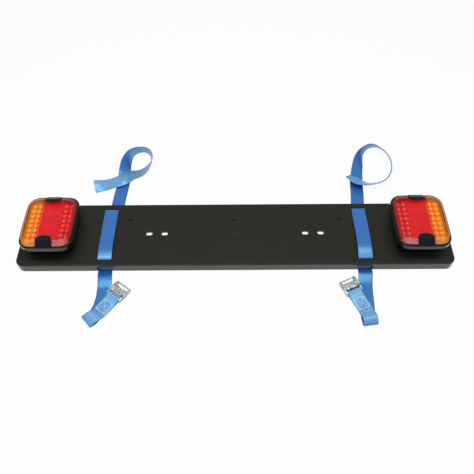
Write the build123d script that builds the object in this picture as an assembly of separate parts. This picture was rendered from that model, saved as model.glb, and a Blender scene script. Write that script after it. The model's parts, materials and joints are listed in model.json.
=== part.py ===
from build123d import *
import math
import os

# Trailer lighting board: a moulded board with two battery LED lamps and two cam-buckle straps.
# Millimetres. +X runs along the board, +Y to its rear edge, +Z up. The origin is the centre of
# the board's top face, which is also the centre of the number plate slots.

# Board moulding
BOARD_LENGTH = 800
BOARD_WIDTH = 140
BOARD_DEPTH = 19
BOARD_CORNER = 15
BOARD_EDGE = 3
SHEET = 3.5
SKIRT = 3.5
RIB_THICKNESS = 2.2
RIB_DEPTH = 10
LONG_RIB_Y = 20
CROSS_RIB_X = (60, 100, 180, 270)

# Number plate slots, blind pockets and the plugged centre hole
PLATE_SLOT_LENGTH = 12
PLATE_SLOT_WIDTH = 8
PLATE_SLOT_X = (132, 161)
POCKET_LENGTH = 9.5
POCKET_WIDTH = 5
POCKET_DEPTH = 2.2
POCKET_X = 199
POCKET_Y = 31
CENTRE_HOLE = 8.5
PLUG_FLANGE = 12
PLUG_FLANGE_DEPTH = 1.4
PLUG_BUTTON = 5.5
PLUG_GROOVE_DEPTH = 0.9
PLUG_LIP = 1.0
PLUG_LIP_DEPTH = 2.0

# Strap webbing and its ways through the board
STRAP_WIDTH = 26
STRAP_THICKNESS = 1.4
STRAP_X = 238
STRAP_SLOT_Y = 57
STRAP_SLOT_WIDTH = 5
STRAP_SLOT_ROOM = 0.5
STRAP_SLOT_CHAMFER = 1
STRAP_BEND = 3
STRAP_DRIFT = 4
FRONT_NOTCH_ROOM = 0.6
REAR_NOTCH_ROOM = 6
NOTCH_HEIGHT = 13
NOTCH_CORNER = 4
LAYER_GAP = 0.1
BAR_GAP = 0.2

# Lamps: heights are above the board's top face
LAMP_INSET = 61.2
LAMP_Y = 1.2
FOOT_WIDTH = 88
FOOT_DEPTH = 92
FOOT_CORNER = 16
FOOT_HEIGHT = 15
RIM_WIDTH = 98
RIM_DEPTH = 117
RIM_CORNER = 22
RIM_BOTTOM = 27
RIM_TOP = 36.5
SIDE_BOW = 1.5
HOUSING_WALL = 2.6
HOUSING_FLOOR = 3
RIM_CHAMFER = 1.2
LENS_WIDTH = 94
LENS_DEPTH = 110
LENS_EDGE = 38
LENS_TOP = 44
LENS_BEVEL_X = 6
LENS_BEVEL_Y = 10
LENS_WALL = 2.4
LENS_CHAMFER = 1.2
COLOUR_SPLIT = 18
LENS_CLEARANCE = 0.2
LENS_SINK = 6.5
GASKET = 1.5
GASKET_WIDTH = 3.5
LED_BOARD = 1.6
LED_BOARD_MARGIN = 4.5
LED_BOARD_SINK = 0.4
LED_PITCH = 10.9
LED_ROWS = 8
LED_COLUMNS = (24, 35)
LED_SIZE = 5
LED_HEIGHT = 1.8
REFLECTOR_HEIGHT = 4.5
REFLECTOR_MARGIN = 1
CUP_SIDES = 8
CUP_BOTTOM = 4
CUP_TAPER = 12
RETRO_WIDTH = 32
RETRO_DEPTH = 46
RETRO_HEIGHT = 3
RETRO_Y = -6
RETRO_CORNER = 3

# Lamp cell, charging socket, bung, clips and screws
CELL_DIAMETER = 18.2
CELL_LENGTH = 65
CELL_CLEARANCE = 0.1
SADDLE_WIDTH = 24
SADDLE_THICKNESS = 4
SADDLE_HEIGHT = 8
SADDLE_Y = 22
SOCKET_WIDTH = 9.2
SOCKET_HEIGHT = 4.2
SOCKET_LENGTH = 7
SOCKET_WALL = 0.7
SOCKET_Z = 10.5
SOCKET_CLEARANCE = 0.1
BUNG_WIDTH = 15
BUNG_HEIGHT = 7.5
BUNG_THICKNESS = 1.8
BUNG_REACH = 3.5
BUNG_CLEARANCE = 0.2
REAR_CLIP_WIDTH = 27
REAR_CLIP_TIP = 5
FRONT_CLIP_WIDTH = 29
FRONT_CLIP_TIP = 9
CLIP_THICKNESS = 2
CLIP_LEG = 1.6
CLIP_LEG_DEPTH = 4.5
CLIP_CLEARANCE = 0.15
SCREW_DIAMETER = 4.8
SCREW_CLEARANCE = 0.05
SCREW_HOLE_ROOM = 0.25
SCREW_HEAD = 9
SCREW_HEAD_HEIGHT = 3
SCREW_REACH = 10
SCREW_OFFSET = 26
BOSS_DIAMETER = 10

# Cam buckles: their own X points away from the sewn webbing, their Z is up from their base
BUCKLE_LENGTH = 30
BUCKLE_CHEEK = 1.5
BUCKLE_SIDE_ROOM = 0.4
BUCKLE_PLATE = 1.8
BUCKLE_PLATE_START = 10
BUCKLE_PLATE_LENGTH = 13
BUCKLE_CHEEK_HEIGHT = 12.5
BUCKLE_BAR_DIAMETER = 4.5
BUCKLE_BAR_Z = 5.6
BUCKLE_BAR_INSET = 4
BUCKLE_END_BAR = 2.6
BUCKLE_END_BAR_Z = 7
BUCKLE_EAR = 3.6
BUCKLE_BEVEL = 1.5
CAM_PIN_DIAMETER = 4
CAM_PIN_X = 3
CAM_PIN_Z = 8.2
CAM_PIN_HEAD = 6.5
CAM_PIN_HEAD_HEIGHT = 0.8
CAM_CLEARANCE = 0.08
CAM_SIDE_GAP = 0.4
CAM_HUB = 8.4
CAM_NOSE_GAP = 0.4
CAM_TEETH = 5
CAM_TOOTH_FIRST = -100
CAM_TOOTH_STEP = 16
CAM_TOOTH_DEPTH = 0.9
CAM_PLATE = 1.8
CAM_PLATE_LENGTH = 10.5
CAM_PLATE_ANGLE = 14
CAM_LIP = 2.2
CAM_RIDGE_PLACES = (1.5, 4.5, 7.5)
CAM_RIDGE_WIDTH = 1.2
CAM_RIDGE_HEIGHT = 0.6
SPRING_GAP = 8
SPRING_WIRE = 0.9
SPRING_TURNS = 5
SPRING_LEG = 6

FLOOR = -BOARD_DEPTH
STRAP_FLAT = FLOOR + STRAP_THICKNESS / 2
BUCKLE_INNER = STRAP_WIDTH + 2 * BUCKLE_SIDE_ROOM
BUCKLE_WIDTH = BUCKLE_INNER + 2 * BUCKLE_CHEEK
BUCKLE_BASE = FLOOR + STRAP_THICKNESS + LAYER_GAP
LAMP_X = BOARD_LENGTH / 2 - LAMP_INSET
SEAT = RIM_TOP - LENS_SINK
LED_BOARD_TOP = SEAT - LED_BOARD_SINK
LEDGE = LED_BOARD_TOP - LED_BOARD


def bowed_rectangle(width, depth, corner, bow=SIDE_BOW):
    """A rounded rectangle whose four sides bulge outwards by bow."""
    x = width / 2 - bow
    y = depth / 2 - bow
    sides = [
        ThreePointArc((-x, -y), (0, -depth / 2), (x, -y)),
        ThreePointArc((x, -y), (width / 2, 0), (x, y)),
        ThreePointArc((x, y), (0, depth / 2), (-x, y)),
        ThreePointArc((-x, y), (-width / 2, 0), (-x, -y)),
    ]
    face = make_face(sides)
    return fillet(face.vertices(), corner)


def prism(sketch, bottom, top):
    """The sketch extruded from one height to another."""
    return extrude(Pos(0, 0, bottom) * sketch, top - bottom)


def make_board():
    """The board: a ribbed tray with slots, strap ways and notches in its skirt."""
    body = prism(RectangleRounded(BOARD_LENGTH, BOARD_WIDTH, BOARD_CORNER), -BOARD_DEPTH, 0)
    body = fillet(body.edges().group_by(Axis.Z)[-1], BOARD_EDGE)
    inner = RectangleRounded(BOARD_LENGTH - 2 * SKIRT, BOARD_WIDTH - 2 * SKIRT, BOARD_CORNER - SKIRT)
    body -= prism(inner, -BOARD_DEPTH, -SHEET)

    rib_middle = -SHEET - RIB_DEPTH / 2
    for y in (-LONG_RIB_Y, LONG_RIB_Y):
        body += Pos(0, y, rib_middle) * Box(BOARD_LENGTH - 2 * SKIRT, RIB_THICKNESS, RIB_DEPTH)
    for x in (*CROSS_RIB_X, LAMP_X):
        for side in (-1, 1):
            body += Pos(side * x, 0, rib_middle) * Box(RIB_THICKNESS, BOARD_WIDTH - 2 * SKIRT, RIB_DEPTH)

    for x in PLATE_SLOT_X:
        slot = SlotOverall(PLATE_SLOT_LENGTH, PLATE_SLOT_WIDTH)
        for side in (-1, 1):
            body -= prism(Pos(side * x, 0) * slot, -SHEET - RIB_DEPTH, 1)
    for x in (-POCKET_X, 0, POCKET_X):
        body -= prism(Pos(x, POCKET_Y) * SlotOverall(POCKET_LENGTH, POCKET_WIDTH), -POCKET_DEPTH, 1)
    body -= Cylinder(CENTRE_HOLE / 2, 4 * SHEET)
    body -= Pos(0, 0, -PLUG_FLANGE_DEPTH / 2) * Cylinder(PLUG_FLANGE / 2, PLUG_FLANGE_DEPTH)

    way = RectangleRounded(STRAP_WIDTH + 2 * STRAP_SLOT_ROOM, STRAP_SLOT_WIDTH, STRAP_SLOT_WIDTH / 3)
    lead_in = offset(way, STRAP_SLOT_CHAMFER)
    for side in (-1, 1):
        for end, room in ((-1, FRONT_NOTCH_ROOM), (1, REAR_NOTCH_ROOM)):
            here = Pos(side * STRAP_X, end * STRAP_SLOT_Y)
            body -= prism(here * way, -2 * SHEET, 1)
            body -= here * extrude(lead_in, -STRAP_SLOT_CHAMFER, taper=45)
            notch = RectangleRounded(STRAP_WIDTH + 2 * room, 2 * NOTCH_HEIGHT, NOTCH_CORNER)
            skirt_middle = end * (BOARD_WIDTH - SKIRT) / 2
            cutter = extrude(Plane.XZ * notch, SKIRT, both=True)
            body -= Pos(side * STRAP_X, skirt_middle, -BOARD_DEPTH) * cutter

    hole = SCREW_DIAMETER / 2 + SCREW_HOLE_ROOM
    for side in (-1, 1):
        for offset_x in (-SCREW_OFFSET, SCREW_OFFSET):
            body -= Pos(side * LAMP_X + offset_x, LAMP_Y, -SHEET / 2) * Cylinder(hole, 2 * SHEET)
    return body


def make_centre_plug():
    """Rubber plug: a dished flange with a raised button, a stem and a retaining lip under the sheet."""
    flange = PLUG_FLANGE / 2 - LAYER_GAP
    stem = CENTRE_HOLE / 2 - LAYER_GAP
    lip = stem + PLUG_LIP
    button = PLUG_BUTTON / 2
    under = -SHEET - LAYER_GAP
    profile = Polyline(
        (0, 0), (button, 0), (button + PLUG_GROOVE_DEPTH / 2, -PLUG_GROOVE_DEPTH),
        (flange - PLUG_GROOVE_DEPTH, -PLUG_GROOVE_DEPTH), (flange, 0),
        (flange, -PLUG_FLANGE_DEPTH + LAYER_GAP), (stem, -PLUG_FLANGE_DEPTH + LAYER_GAP), (stem, under),
        (lip, under), (stem, under - PLUG_LIP_DEPTH), (0, under - PLUG_LIP_DEPTH), close=True,
    )
    return revolve(make_face(Plane.XZ * profile), Axis.Z)


def led_places(columns):
    """Middle points of one colour's LEDs, in the lamp's own plan."""
    first = -LED_PITCH * (LED_ROWS - 1) / 2
    return [(x, first + row * LED_PITCH) for x in columns for row in range(LED_ROWS)]


AMBER_PLACES = led_places(LED_COLUMNS)
RED_PLACES = led_places([-x for x in LED_COLUMNS])


def make_housing():
    """Lamp housing: a foot that flares to the rim, stepped inside for the circuit board and the lens."""
    foot = bowed_rectangle(FOOT_WIDTH, FOOT_DEPTH, FOOT_CORNER)
    rim = bowed_rectangle(RIM_WIDTH, RIM_DEPTH, RIM_CORNER)
    rim_block = chamfer(prism(rim, RIM_BOTTOM, RIM_TOP).edges().group_by(Axis.Z)[-1], RIM_CHAMFER)
    flare = loft([Pos(0, 0, FOOT_HEIGHT) * foot, Pos(0, 0, RIM_BOTTOM) * rim])
    body = prism(foot, 0, FOOT_HEIGHT) + flare + rim_block

    well = bowed_rectangle(
        FOOT_WIDTH - 2 * HOUSING_WALL, FOOT_DEPTH - 2 * HOUSING_WALL, FOOT_CORNER - HOUSING_WALL)
    body -= prism(well, HOUSING_FLOOR, RIM_TOP)
    body -= prism(led_board_outline(LENS_CLEARANCE), LEDGE, RIM_TOP)
    body -= prism(lens_outline(LENS_CLEARANCE), SEAT, RIM_TOP)
    slot_depth = CLIP_LEG + 3 * CLIP_CLEARANCE
    slot_height = CLIP_LEG_DEPTH + 2 * CLIP_CLEARANCE
    for end, width in ((-1, FRONT_CLIP_WIDTH), (1, REAR_CLIP_WIDTH)):
        slot_width = width + 4 * CLIP_CLEARANCE
        slot = Box(slot_width, slot_depth, slot_height, align=(Align.CENTER, Align.CENTER, Align.MAX))
        body -= Pos(0, end * (LENS_DEPTH / 2 + slot_depth / 2), RIM_TOP) * slot

    boss_hole = SCREW_DIAMETER / 2 + SCREW_CLEARANCE
    boss_top = SCREW_REACH + HOUSING_FLOOR
    for x in (-SCREW_OFFSET, SCREW_OFFSET):
        body += Pos(x, 0) * prism(Circle(BOSS_DIAMETER / 2), 0, boss_top)
        body -= Pos(x, 0) * prism(Circle(boss_hole), -HOUSING_FLOOR, SCREW_REACH + SCREW_HOLE_ROOM)

    cell_bed = cell_axis() * Cylinder(CELL_DIAMETER / 2 + CELL_CLEARANCE, BOARD_WIDTH)
    saddle_plan = Rectangle(SADDLE_WIDTH, SADDLE_THICKNESS)
    for y in (-SADDLE_Y, SADDLE_Y):
        saddle = prism(saddle_plan, HOUSING_FLOOR, HOUSING_FLOOR + SADDLE_HEIGHT)
        body += Pos(0, y) * saddle - cell_bed

    way = RectangleRounded(
        SOCKET_WIDTH + 2 * SOCKET_CLEARANCE, SOCKET_HEIGHT + 2 * SOCKET_CLEARANCE, SOCKET_HEIGHT / 3)
    body -= socket_plane(FOOT_DEPTH / 2 + SIDE_BOW) * extrude(way, HOUSING_WALL + 2 * SIDE_BOW)
    return body


def lens_outline(room=0.0, inset_x=0.0, inset_y=0.0):
    """Plan of the lens, opened by room or drawn in by the insets."""
    width = LENS_WIDTH + 2 * room - 2 * inset_x
    depth = LENS_DEPTH + 2 * room - 2 * inset_y
    corner = RIM_CORNER - (RIM_WIDTH - width) / 2
    return bowed_rectangle(width, depth, corner)


def led_board_outline(room=0.0):
    """Plan of the LED circuit board."""
    return lens_outline(room, LED_BOARD_MARGIN, LED_BOARD_MARGIN)


def cell_axis():
    """Place of the battery cell: along Y, lying on the housing's floor."""
    return Pos(0, 0, HOUSING_FLOOR + CELL_CLEARANCE + CELL_DIAMETER / 2) * Rot(90, 0, 0)


def socket_plane(y):
    """Plane at the rear wall that faces inwards, on the charging socket's axis."""
    return Plane(origin=(0, y, SOCKET_Z), x_dir=(1, 0, 0), z_dir=(0, -1, 0))


def lens_block(wall, bottom):
    """Solid within the lens's outer face, moved inwards by wall: a skirt, a bevel and a flat top."""
    edge = LENS_EDGE - wall / 2
    top = LENS_TOP - wall
    skirt = lens_outline(0, wall, wall)
    flat = lens_outline(0, wall + LENS_BEVEL_X, wall + LENS_BEVEL_Y)
    return prism(skirt, bottom, edge) + loft([Pos(0, 0, edge) * skirt, Pos(0, 0, top) * flat])


def make_lenses():
    """The two-colour lens as its amber and red mouldings, which meet at a flat joint."""
    bottom = SEAT + GASKET
    outer = lens_block(0, bottom)
    outer = chamfer(outer.edges().group_by(Axis.Z)[-1], LENS_CHAMFER)
    shell = outer - lens_block(LENS_WALL, bottom)
    outboard = Pos(COLOUR_SPLIT, 0, 0) * Box(
        LENS_WIDTH, 2 * LENS_DEPTH, 4 * LENS_TOP, align=(Align.MIN, Align.CENTER, Align.CENTER))
    return shell & outboard, shell - outboard


def make_clip(width, tip_length):
    """Lens clip at the rear: a leg in the rim, a bent strap over the bevel and a half-oval tongue."""
    half = LENS_DEPTH / 2
    flat_end = half - LENS_BEVEL_Y
    gap = CLIP_CLEARANCE
    tip = flat_end - tip_length
    leg_in = half + gap
    leg_out = leg_in + CLIP_LEG
    top = LENS_TOP + gap + CLIP_THICKNESS
    profile = Polyline(
        (tip, LENS_TOP + gap), (flat_end + gap, LENS_TOP + gap), (leg_in, LENS_EDGE + gap),
        (leg_in, RIM_TOP - CLIP_LEG_DEPTH), (leg_out, RIM_TOP - CLIP_LEG_DEPTH),
        (leg_out, LENS_EDGE + CLIP_THICKNESS / 2), (flat_end + CLIP_THICKNESS / 2, top), (tip, top),
        close=True,
    )
    band = extrude(make_face(Plane.YZ * profile), width, both=True)
    plan = Pos(0, flat_end) * Ellipse(width / 2, tip_length)
    plan += Pos(0, flat_end + half / 2) * Rectangle(width, half)
    return band & prism(plan, 0, 2 * LENS_TOP)


def make_charge_parts():
    """The charging socket in the rear wall and the rubber bung that closes it."""
    outer_wall = FOOT_DEPTH / 2
    shell = RectangleRounded(SOCKET_WIDTH, SOCKET_HEIGHT, SOCKET_HEIGHT / 3)
    throat_width = SOCKET_WIDTH - 2 * SOCKET_WALL
    throat_height = SOCKET_HEIGHT - 2 * SOCKET_WALL
    throat = RectangleRounded(throat_width, throat_height, throat_height / 3)
    face = socket_plane(outer_wall - SOCKET_CLEARANCE)
    socket = face * (extrude(shell, SOCKET_LENGTH) - extrude(throat, SOCKET_LENGTH - SOCKET_WALL))
    plug = RectangleRounded(
        throat_width - 2 * BUNG_CLEARANCE, throat_height - 2 * BUNG_CLEARANCE, throat_height / 4)
    cover = RectangleRounded(BUNG_WIDTH, BUNG_HEIGHT, BUNG_HEIGHT / 3)
    bung = extrude(cover, -BUNG_THICKNESS) + extrude(plug, BUNG_REACH)
    return socket, socket_plane(outer_wall + LAYER_GAP) * bung


def make_screws():
    """Two pan-head screws that hold the lamp from under the board."""
    screws = []
    for x in (-SCREW_OFFSET, SCREW_OFFSET):
        head = prism(Circle(SCREW_HEAD / 2), -SHEET - SCREW_HEAD_HEIGHT, -SHEET)
        head = chamfer(head.edges().group_by(Axis.Z)[0], SCREW_HEAD_HEIGHT / 2)
        screws.append(Pos(x, 0) * (head + prism(Circle(SCREW_DIAMETER / 2), -SHEET, SCREW_REACH)))
    return screws


def make_lamp():
    """All pieces of the right-hand lamp about its own centre, amber to +X."""
    reflector_outline = led_board_outline(-REFLECTOR_MARGIN)
    retro_outline = Pos(0, RETRO_Y) * RectangleRounded(RETRO_WIDTH, RETRO_DEPTH, RETRO_CORNER)
    reflector_top = LED_BOARD_TOP + REFLECTOR_HEIGHT
    reflector = prism(reflector_outline, LED_BOARD_TOP, reflector_top)
    cup_plan = RegularPolygon(CUP_BOTTOM, CUP_SIDES, rotation=180 / CUP_SIDES)
    cup = extrude(cup_plan, REFLECTOR_HEIGHT, taper=-CUP_TAPER)
    for x, y in AMBER_PLACES + RED_PLACES:
        reflector -= Pos(x, y, LED_BOARD_TOP) * cup
    led = Box(LED_SIZE, LED_SIZE, LED_HEIGHT, align=(Align.CENTER, Align.CENTER, Align.MIN))
    amber_lens, red_lens = make_lenses()
    socket, bung = make_charge_parts()
    front_clip = mirror(make_clip(FRONT_CLIP_WIDTH, FRONT_CLIP_TIP), about=Plane.XZ)
    gasket = lens_outline() - lens_outline(0, GASKET_WIDTH, GASKET_WIDTH)
    return {
        "housing": make_housing(),
        "amber_lens": amber_lens,
        "red_lens": red_lens,
        "lens_gasket": prism(gasket, SEAT, SEAT + GASKET),
        "led_board": prism(led_board_outline(), LEDGE, LED_BOARD_TOP),
        "amber_leds": [Pos(x, y, LED_BOARD_TOP) * led for x, y in AMBER_PLACES],
        "red_leds": [Pos(x, y, LED_BOARD_TOP) * led for x, y in RED_PLACES],
        "led_reflector": reflector,
        "retro_reflector": prism(retro_outline, reflector_top, reflector_top + RETRO_HEIGHT),
        "battery_cell": cell_axis() * Cylinder(CELL_DIAMETER / 2, CELL_LENGTH),
        "charge_socket": socket,
        "charge_bung": bung,
        "rear_clip": make_clip(REAR_CLIP_WIDTH, REAR_CLIP_TIP),
        "front_clip": front_clip,
        "mounting_screws": make_screws(),
    }


def make_buckle():
    """Cam buckle about its own centre: pressed frame, toothed cam lever, pin and torsion spring."""
    half = BUCKLE_LENGTH / 2
    ear = BUCKLE_BAR_Z + BUCKLE_EAR
    far_end = BUCKLE_END_BAR_Z + BUCKLE_END_BAR
    cheek_outline = Polyline(
        (-half, BUCKLE_BEVEL), (-half + BUCKLE_BEVEL, 0), (half - BUCKLE_BEVEL, 0), (half, BUCKLE_BEVEL),
        (half, far_end - BUCKLE_BEVEL), (half - BUCKLE_BEVEL, far_end),
        (CAM_PIN_X + CAM_HUB / 2, BUCKLE_CHEEK_HEIGHT), (CAM_PIN_X - CAM_HUB / 2, BUCKLE_CHEEK_HEIGHT),
        (-half + BUCKLE_BAR_INSET + BUCKLE_EAR, ear), (-half + BUCKLE_BEVEL, ear),
        (-half, ear - BUCKLE_BEVEL), close=True,
    )
    cheek_face = make_face(Plane.XZ * cheek_outline)
    cheek = extrude(cheek_face, BUCKLE_CHEEK / 2, both=True)
    cheek_y = (BUCKLE_INNER + BUCKLE_CHEEK) / 2
    plate = Box(BUCKLE_PLATE_LENGTH, BUCKLE_WIDTH, BUCKLE_PLATE, align=(Align.MIN, Align.CENTER, Align.MIN))
    frame = Pos(-half + BUCKLE_PLATE_START, 0, 0) * plate
    bar_x = -half + BUCKLE_BAR_INSET
    end_bar_x = half - BUCKLE_END_BAR / 2
    for x, z, diameter in (
            (bar_x, BUCKLE_BAR_Z, BUCKLE_BAR_DIAMETER), (end_bar_x, BUCKLE_END_BAR_Z, BUCKLE_END_BAR)):
        frame += Pos(x, 0, z) * Rot(90, 0, 0) * Cylinder(diameter / 2, BUCKLE_WIDTH)
    for side in (-1, 1):
        frame += Pos(0, side * cheek_y, 0) * cheek
    at_pin = Pos(CAM_PIN_X, 0, CAM_PIN_Z) * Rot(90, 0, 0)
    pin_radius = CAM_PIN_DIAMETER / 2
    frame -= at_pin * Cylinder(pin_radius + CAM_CLEARANCE, 2 * BUCKLE_WIDTH)

    pin = Cylinder(pin_radius, BUCKLE_WIDTH + 2 * CAM_CLEARANCE)
    head = Cylinder(CAM_PIN_HEAD / 2, CAM_PIN_HEAD_HEIGHT)
    for side in (-1, 1):
        pin += Pos(0, 0, side * (BUCKLE_WIDTH / 2 + CAM_CLEARANCE + CAM_PIN_HEAD_HEIGHT / 2)) * head

    cam_width = BUCKLE_INNER - 2 * CAM_SIDE_GAP
    cam = cam_profile()
    lever = extrude(Plane.XZ * cam, cam_width / 2, both=True)
    coil_room = CAM_HUB / 2 + CAM_TOOTH_DEPTH
    lever -= Box(2 * coil_room, SPRING_GAP, 2 * (CAM_HUB / 2 - CAM_TOOTH_DEPTH))
    lever -= Rot(90, 0, 0) * Cylinder(pin_radius + CAM_CLEARANCE, 2 * BUCKLE_WIDTH)
    lever = Pos(CAM_PIN_X, 0, CAM_PIN_Z) * lever
    return {"buckle_frame": frame, "cam_lever": lever, "cam_pin": at_pin * pin, "cam_spring": make_spring()}


def cam_profile():
    """Side view of the cam lever about its pin: round hub, toothed nose and a tilted, ridged plate."""
    hub = Circle(CAM_HUB / 2)
    reach = CAM_PIN_Z - BUCKLE_PLATE - CAM_NOSE_GAP
    sketch = hub
    for tooth in range(CAM_TEETH):
        angle = CAM_TOOTH_FIRST + tooth * CAM_TOOTH_STEP
        root = reach - CAM_TOOTH_DEPTH
        half_step = math.radians(CAM_TOOTH_STEP / 2)
        sketch += Rot(0, 0, angle) * make_face(Polyline(
            (0, 0), (root * math.cos(half_step), -root * math.sin(half_step)), (reach, 0),
            (root * math.cos(half_step), root * math.sin(half_step)), close=True))
    plate = Rectangle(CAM_PLATE_LENGTH, CAM_PLATE, align=(Align.MAX, Align.MAX))
    plate += Pos(-CAM_PLATE_LENGTH, 0) * Circle(CAM_LIP / 2, align=(Align.CENTER, Align.MAX))
    ridge = Rectangle(CAM_RIDGE_WIDTH, 2 * CAM_RIDGE_HEIGHT)
    for place in CAM_RIDGE_PLACES:
        plate += Pos(-place, 0) * ridge
    sketch += Rot(0, 0, -CAM_PLATE_ANGLE) * Pos(0, CAM_HUB / 2) * plate
    return sketch


def make_spring():
    """Torsion spring: a close-wound coil round the pin with a leg on the base and one under the lever."""
    inner = CAM_PIN_DIAMETER / 2 + CAM_CLEARANCE
    length = SPRING_TURNS * SPRING_WIRE
    coil = Cylinder(inner + SPRING_WIRE, length) - Cylinder(inner, length)
    middle = inner + SPRING_WIRE / 2
    leg = Box(SPRING_LEG, SPRING_WIRE, SPRING_WIRE, align=(Align.MAX, Align.CENTER, Align.CENTER))
    end = (length - SPRING_WIRE) / 2
    under_plate = CAM_HUB / 2 - CAM_PLATE - SPRING_WIRE / 2 - CAM_CLEARANCE
    coil += Rot(0, 0, -CAM_PLATE_ANGLE) * Pos(-inner, under_plate, end) * leg + Pos(0, -middle, -end) * leg
    return Pos(CAM_PIN_X, 0, CAM_PIN_Z) * Rot(90, 0, 0) * coil


# Strap routes. A station is (x, y, z, azimuth, elevation): the webbing's middle and the way its
# width points, in degrees. Stations between named runs are chosen by hand, from the sewn end to
# the tail, and joined by a smooth curve. A fold's x and y are measured from the buckle's bar and
# its rise from lying flat on the floor. A tail's x and y are measured from its rear notch.

def edge_rise(tilt):
    """How far the webbing's middle rises when it is tilted on its lower edge."""
    return abs(math.sin(math.radians(tilt))) * STRAP_WIDTH / 2


def laid(x, y, azimuth, elevation, lift=0.0):
    """A station whose lower edge lies on the floor, or lift above it."""
    return (x, y, STRAP_FLAT + edge_rise(elevation) + lift, azimuth, elevation)


BUCKLES = {
    "left": {"bar": (-213, -126.5), "heading": 53},
    "right": {"bar": (211, -119.5), "heading": 115},
}

# Azimuth and elevation at which each strap lies flat on the board. The left tail stands up and
# turns right over, so the left strap starts half a turn back.
FLAT_ACROSS = {"left": (180, -180), "right": (0, 0)}

FRONT_FOLDS = {
    "left": [
        (-24.6, -33.2, 4.6, -38),
        (-27, -38, 8.8, -41),
        (-30.5, -41.3, 10.3, -43),
        (-35.5, -44.5, 9, -45),
        (-40.5, -47.3, 6.3, -46),
        (-43.7, -48.8, 3.2, -46),
        (-42, -47.3, 0.6, -45),
        (-34.5, -40, 0, -38),
        (-26, -24, 0, -18),
        (-21.5, 0, 0, -3),
        (-21.6, 17.5, 0.05, -1),
        (-21.7, 22.5, 0.6, 0),
        (-22, 28.5, 1.9, 0),
        (-22.4, 34.5, 3.2, 0),
        (-23.3, 42.5, 3.6, 0),
    ],
    "right": [
        (17.5, -40, 4.8, 22),
        (19, -47, 9.3, 17),
        (20.3, -54, 12.3, 13),
        (20.8, -60, 10.3, 10),
        (21, -65, 4.8, 8),
        (21, -58, 0.5, 6),
        (20, -44, 0, 3),
        (21, -18, 0, 1),
        (22.6, 12, 0, 0.5),
        (23.6, 19.5, 0.15, 0),
        (24.4, 25, 0.9, 0),
        (25, 30.5, 2, 0),
        (25.6, 35.5, 3.1, 0),
        (26.2, 40.5, 3.3, 0),
    ],
}

TAILS = {
    "left": [
        laid(6.5, 35, 184, -180),
        laid(9, 65, 190, -180),
        laid(10, 87, 202, -170),
        laid(10, 108, 212, -149),
        laid(13, 128, 216, -135),
        laid(20, 143, 226, -122),
        laid(32, 152, 242, -110),
        laid(48, 152, 280, -108),
        laid(59, 142, 297, -115),
        laid(64, 124, 304, -113),
        laid(60, 104, 330, -107),
        laid(50, 90, 322, -103),
        laid(39, 83, 308, -97),
        laid(28, 79, 296, -84, 1.2),
        laid(16, 75.5, 284, -52, 2),
        laid(2, 71, 275, -14, 3),
        laid(-12, 67, 274, -6, 2.5),
        laid(-28, 63, 279, -10),
        laid(-47, 56, 280, -30),
    ],
    "right": [
        laid(8, 35, 2, 0),
        laid(10, 65, 6, -2),
        laid(13, 88, 8, -16),
        laid(17, 108, 17, -24),
        laid(22, 127, 28, -33),
        laid(32, 145, 44, -45),
        laid(47, 158, 53, -56),
        laid(65, 159, 63, -53),
        laid(79, 144, 69, -46),
        laid(86, 118, 69, -45),
        laid(83, 92, 68, -46),
        laid(73, 72, 68, -47),
        laid(58, 61, 71, -46),
        laid(38, 57, 72, -42),
        laid(22, 59, 60, -30, 2),
        laid(10, 66, 50, -20, 3),
        laid(-4, 81, 50, -24, 2),
    ],
}

# Where the webbing arches over the board: its slope out of the front slot, and (y, rise from lying flat)
ARCH_SLOPES = {"left": 14, "right": 26}
ARCHES = {
    "left": [(-50, 1), (-44, 2), (-36, 2.8), (-24, 3.1), (-6, 2.6), (14, 1.5), (36, 0.4)],
    "right": [(-50, 2), (-44, 4), (-36, 5.6), (-24, 6.2), (-6, 5.3), (14, 3.2), (36, 0.9)],
}

SEWN_LENGTH = 38
SEWN_START = 12
BAR_STEPS = 8
BAR_WRAP_START = -20
BAR_WRAP_END = 180
SMOOTH_STEPS = 2
BEND_STEPS = 4


def strap_middle(side):
    """Where a strap crosses the board."""
    return STRAP_X if side == "right" else -STRAP_X


def sewn_end(side):
    """The webbing sewn back on itself round the buckle's bar, from its cut end to the single layer."""
    bar_x, bar_y = BUCKLES[side]["bar"]
    heading = math.radians(BUCKLES[side]["heading"])
    turn, roll = FLAT_ACROSS[side]
    azimuth = BUCKLES[side]["heading"] - 90 + turn
    bar_z = BUCKLE_BASE + BUCKLE_BAR_Z
    radius = BUCKLE_BAR_DIAMETER / 2 + BAR_GAP + STRAP_THICKNESS / 2
    main_z = bar_z - radius
    cut_z = main_z + STRAP_THICKNESS + LAYER_GAP

    def station(back, z):
        return (bar_x - back * math.cos(heading), bar_y - back * math.sin(heading), z, azimuth, roll)

    route = [station(SEWN_LENGTH, cut_z), station(SEWN_START, cut_z)]
    for step in range(BAR_STEPS + 1):
        angle = math.radians(BAR_WRAP_START + (BAR_WRAP_END - BAR_WRAP_START) * step / BAR_STEPS)
        route.append(station(-radius * math.sin(angle), bar_z + radius * math.cos(angle)))
    return route + [station(SEWN_LENGTH, main_z)]


def fold_stations(side):
    """The fold between the sewn end and the board."""
    bar_x, bar_y = BUCKLES[side]["bar"]
    turn, roll = FLAT_ACROSS[side]
    return [(bar_x + x, bar_y + y, STRAP_FLAT + rise, azimuth + turn, roll)
            for x, y, rise, azimuth in FRONT_FOLDS[side]]


def tail_stations(side):
    """The loose tail behind the board."""
    return [(strap_middle(side) + x, BOARD_WIDTH / 2 + y, z, azimuth, elevation)
            for x, y, z, azimuth, elevation in TAILS[side]]


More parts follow.
